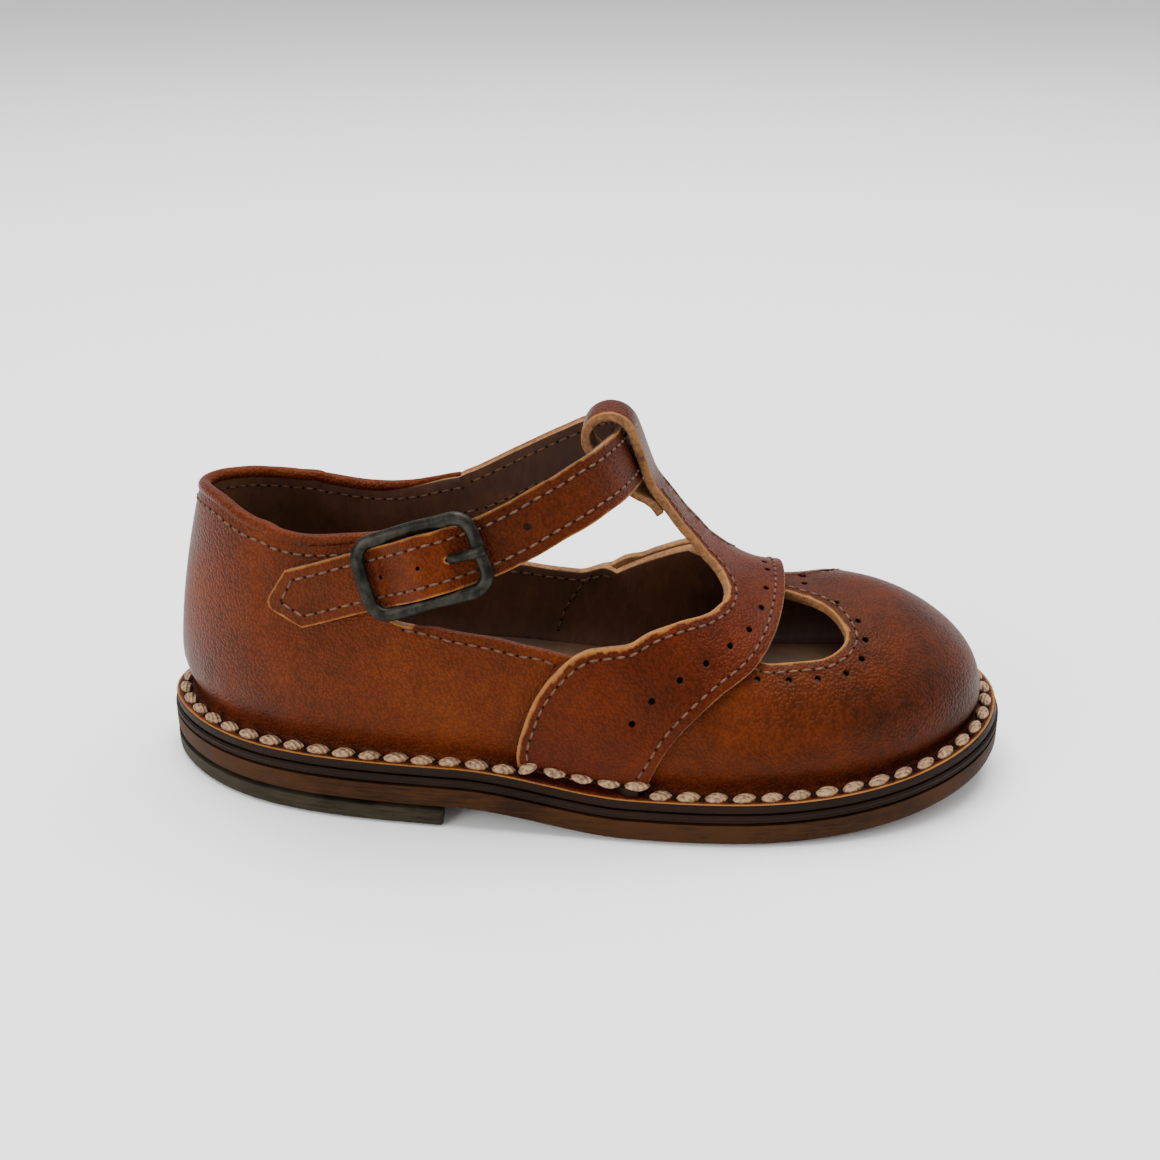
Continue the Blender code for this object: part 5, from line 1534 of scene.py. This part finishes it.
# %% Rows of fine thread
ROW_STEP = 0.5
OUTER_ROW = ((54.9, 39.0), (65.6, 37.2), (74.9, 35.6), (83.6, 33.6))
LINING_ROW = ((86.4, 29.1), (82.9, 24.8), (80.6, 20.6), (79.2, 16.0))
STRAP_ROW_TIP = -28.4
STRAP_ROW_BODY = -25.2
STRAP_ROW_HALF = (0.25, 3.5)
SPARE_HOLE = 20.3
SPARE_HOLE_SIZE = (0.75, 0.75, 0.10)
stitch_row("collar_thread", beside(collar, 2.7), WALL, 0.0)
stitch_row("outer_edge_thread", smooth_run(side_view(OUTER_ROW, -1), ROW_STEP), WALL, 0.0)
inner_row = smooth_run(np.vstack([root[:1], side_view(INNER_EDGE, 1)]), ROW_STEP)
stitch_row("inner_edge_thread", beside(inner_row, 2.0), WALL, 0.0)
stitch_row("lining_seam_thread", smooth_run(side_view(LINING_ROW, 1), ROW_STEP), None, 0.0)
strap_end = strap_rows(STEP)[0][-1] - 1.5
inner_start = np.interp(0.0, belt.line[:, 1], belt.run) + 9.0
row_outside = np.r_[np.linspace(STRAP_ROW_TIP, -25.4, 8), np.arange(-24.9, strap_end, ROW_STEP)]
row_inside = np.arange(inner_start, strap_end, ROW_STEP)
for name, sign in (("lower", -1), ("upper", 1)):
    for face, row_a, high, facing in (("", row_outside, WALL, 1.0), ("_inside", row_inside, 0.0, -1.0)):
        row_b = np.interp(row_a, (STRAP_ROW_TIP, STRAP_ROW_BODY), STRAP_ROW_HALF) * sign
        pattern = belt.pattern(row_a, row_b)
        path = lasted(pattern, strap_lift(row_a) + high)
        fine_row(f"strap_thread_{name}{face}", path, face_out(pattern) * facing)
# The strap hole at SPARE_HOLE is not cut: a flat dark dot there is painted shade for it.
mark_a = np.array([SPARE_HOLE, 20.8])
mark = belt.place(mark_a, 0.0, strap_lift(mark_a) + WALL)
mark_up = face_out(belt.pattern([SPARE_HOLE], [0.0]))
laid("strap_hole_shade", fine_bead, mark[:1], np.diff(mark, axis=0), mark_up, SPARE_HOLE_SIZE, hole_shade)

high = SADDLE_LIFT + OVERLAY
rear_start = sole_foot(rear_foot, -1, 0.0)[0]
rear_line = smooth_run([rear_start, *SADDLE_REAR, *SADDLE_CORNER[1:], (BAR_ROW, -BAR_HALF)], ROW_STEP)
stitch_row("saddle_rear_thread", beside(rear_line, -2.0), high)
far_corner = [(u, -v) for u, v in SADDLE_CORNER[1:]]
far_line = np.vstack([sole_foot(rear_foot, 1, 0.0), inner_low, far_corner, [(BAR_ROW, BAR_HALF)]])
stitch_row("saddle_rear_far_thread", beside(smooth_run(far_line, ROW_STEP), 2.0), high)
front_ends = [sole_foot(front_foot, side, 0.0)[0] for side in (-1, 1)]
front_line = smooth_run([front_ends[0], *SADDLE_FRONT, front_ends[1]], ROW_STEP)
stitch_row("saddle_front_thread", beside(front_line, 2.0), high)
hole_line = looped(closed_curve(CUTOUT, 140))
stitch_row("cutout_outer_thread", beside(hole_line, -2.0), WALL)
stitch_row("cutout_inner_thread", beside(hole_line * FLIP + [0, 2 * CUTOUT_AXIS], 2.0), WALL)

# %% [markdown]
# ## Floor, light and camera
# A studio shot on white paper: one wide soft lamp above, two weak ones that fill the front and the right,
# and a bright even surround. The camera stands before the outer side and looks down on the shoe.

# %% Floor, lights and camera
FLOOR_SIZE = 12.0
FLOOR_HEIGHT = -0.0002
SURROUND = 0.74
LENS = 47.88
SENSOR = 36.0
SHIFT = (-0.0158, -0.0610)
YAW, PITCH = -0.074, 0.3892
EYE = (0.0246, -0.2822, 0.1704)

floor_paint, floor_tree, floor_shader, _ = blank("studio_paper")
give(floor_tree, floor_shader, {"Base Color": (0.95, 0.95, 0.95, 1), "Roughness": 0.9})
bpy.ops.mesh.primitive_plane_add(size=FLOOR_SIZE, location=(0, 0, FLOOR_HEIGHT))
floor = bpy.context.active_object
floor.name = "floor"
floor.data.materials.append(floor_paint)


def area(name, place, aim, size, power):
    """A white area lamp that looks at a point."""
    lamp = bpy.data.lights.new(name, "AREA")
    lamp.energy = power
    lamp.size = size
    thing = bpy.data.objects.new(name, lamp)
    bpy.context.scene.collection.objects.link(thing)
    thing.location = place
    thing.rotation_euler = (Vector(aim) - Vector(place)).to_track_quat("-Z", "Y").to_euler()


area("top_softbox", (0.0, 0.20, 1.2), (0, 0, 0), 1.1, 32.0)
area("front_fill", (-0.6, -0.7, 0.40), (0, 0, 0.03), 0.6, 6.0)
area("right_fill", (0.8, 0.2, 0.5), (0, 0, 0.03), 0.5, 1.2)
world = bpy.data.worlds.new("studio")
bpy.context.scene.world = world
world.use_nodes = True
world.node_tree.nodes["Background"].inputs["Color"].default_value = (1, 1, 1, 1)
world.node_tree.nodes["Background"].inputs["Strength"].default_value = SURROUND

camera = bpy.data.cameras.new("camera")
camera.lens = LENS
camera.sensor_width = SENSOR
camera.shift_x, camera.shift_y = SHIFT
eye = bpy.data.objects.new("camera", camera)
bpy.context.scene.collection.objects.link(eye)
fwd = Vector((math.sin(YAW) * math.cos(PITCH), math.cos(YAW) * math.cos(PITCH), -math.sin(PITCH)))
right = Vector((math.cos(YAW), -math.sin(YAW), 0.0))
up = right.cross(fwd)
eye.matrix_world = Matrix.Translation(EYE) @ Matrix((right, up, -fwd)).transposed().to_4x4()
bpy.context.scene.camera = eye
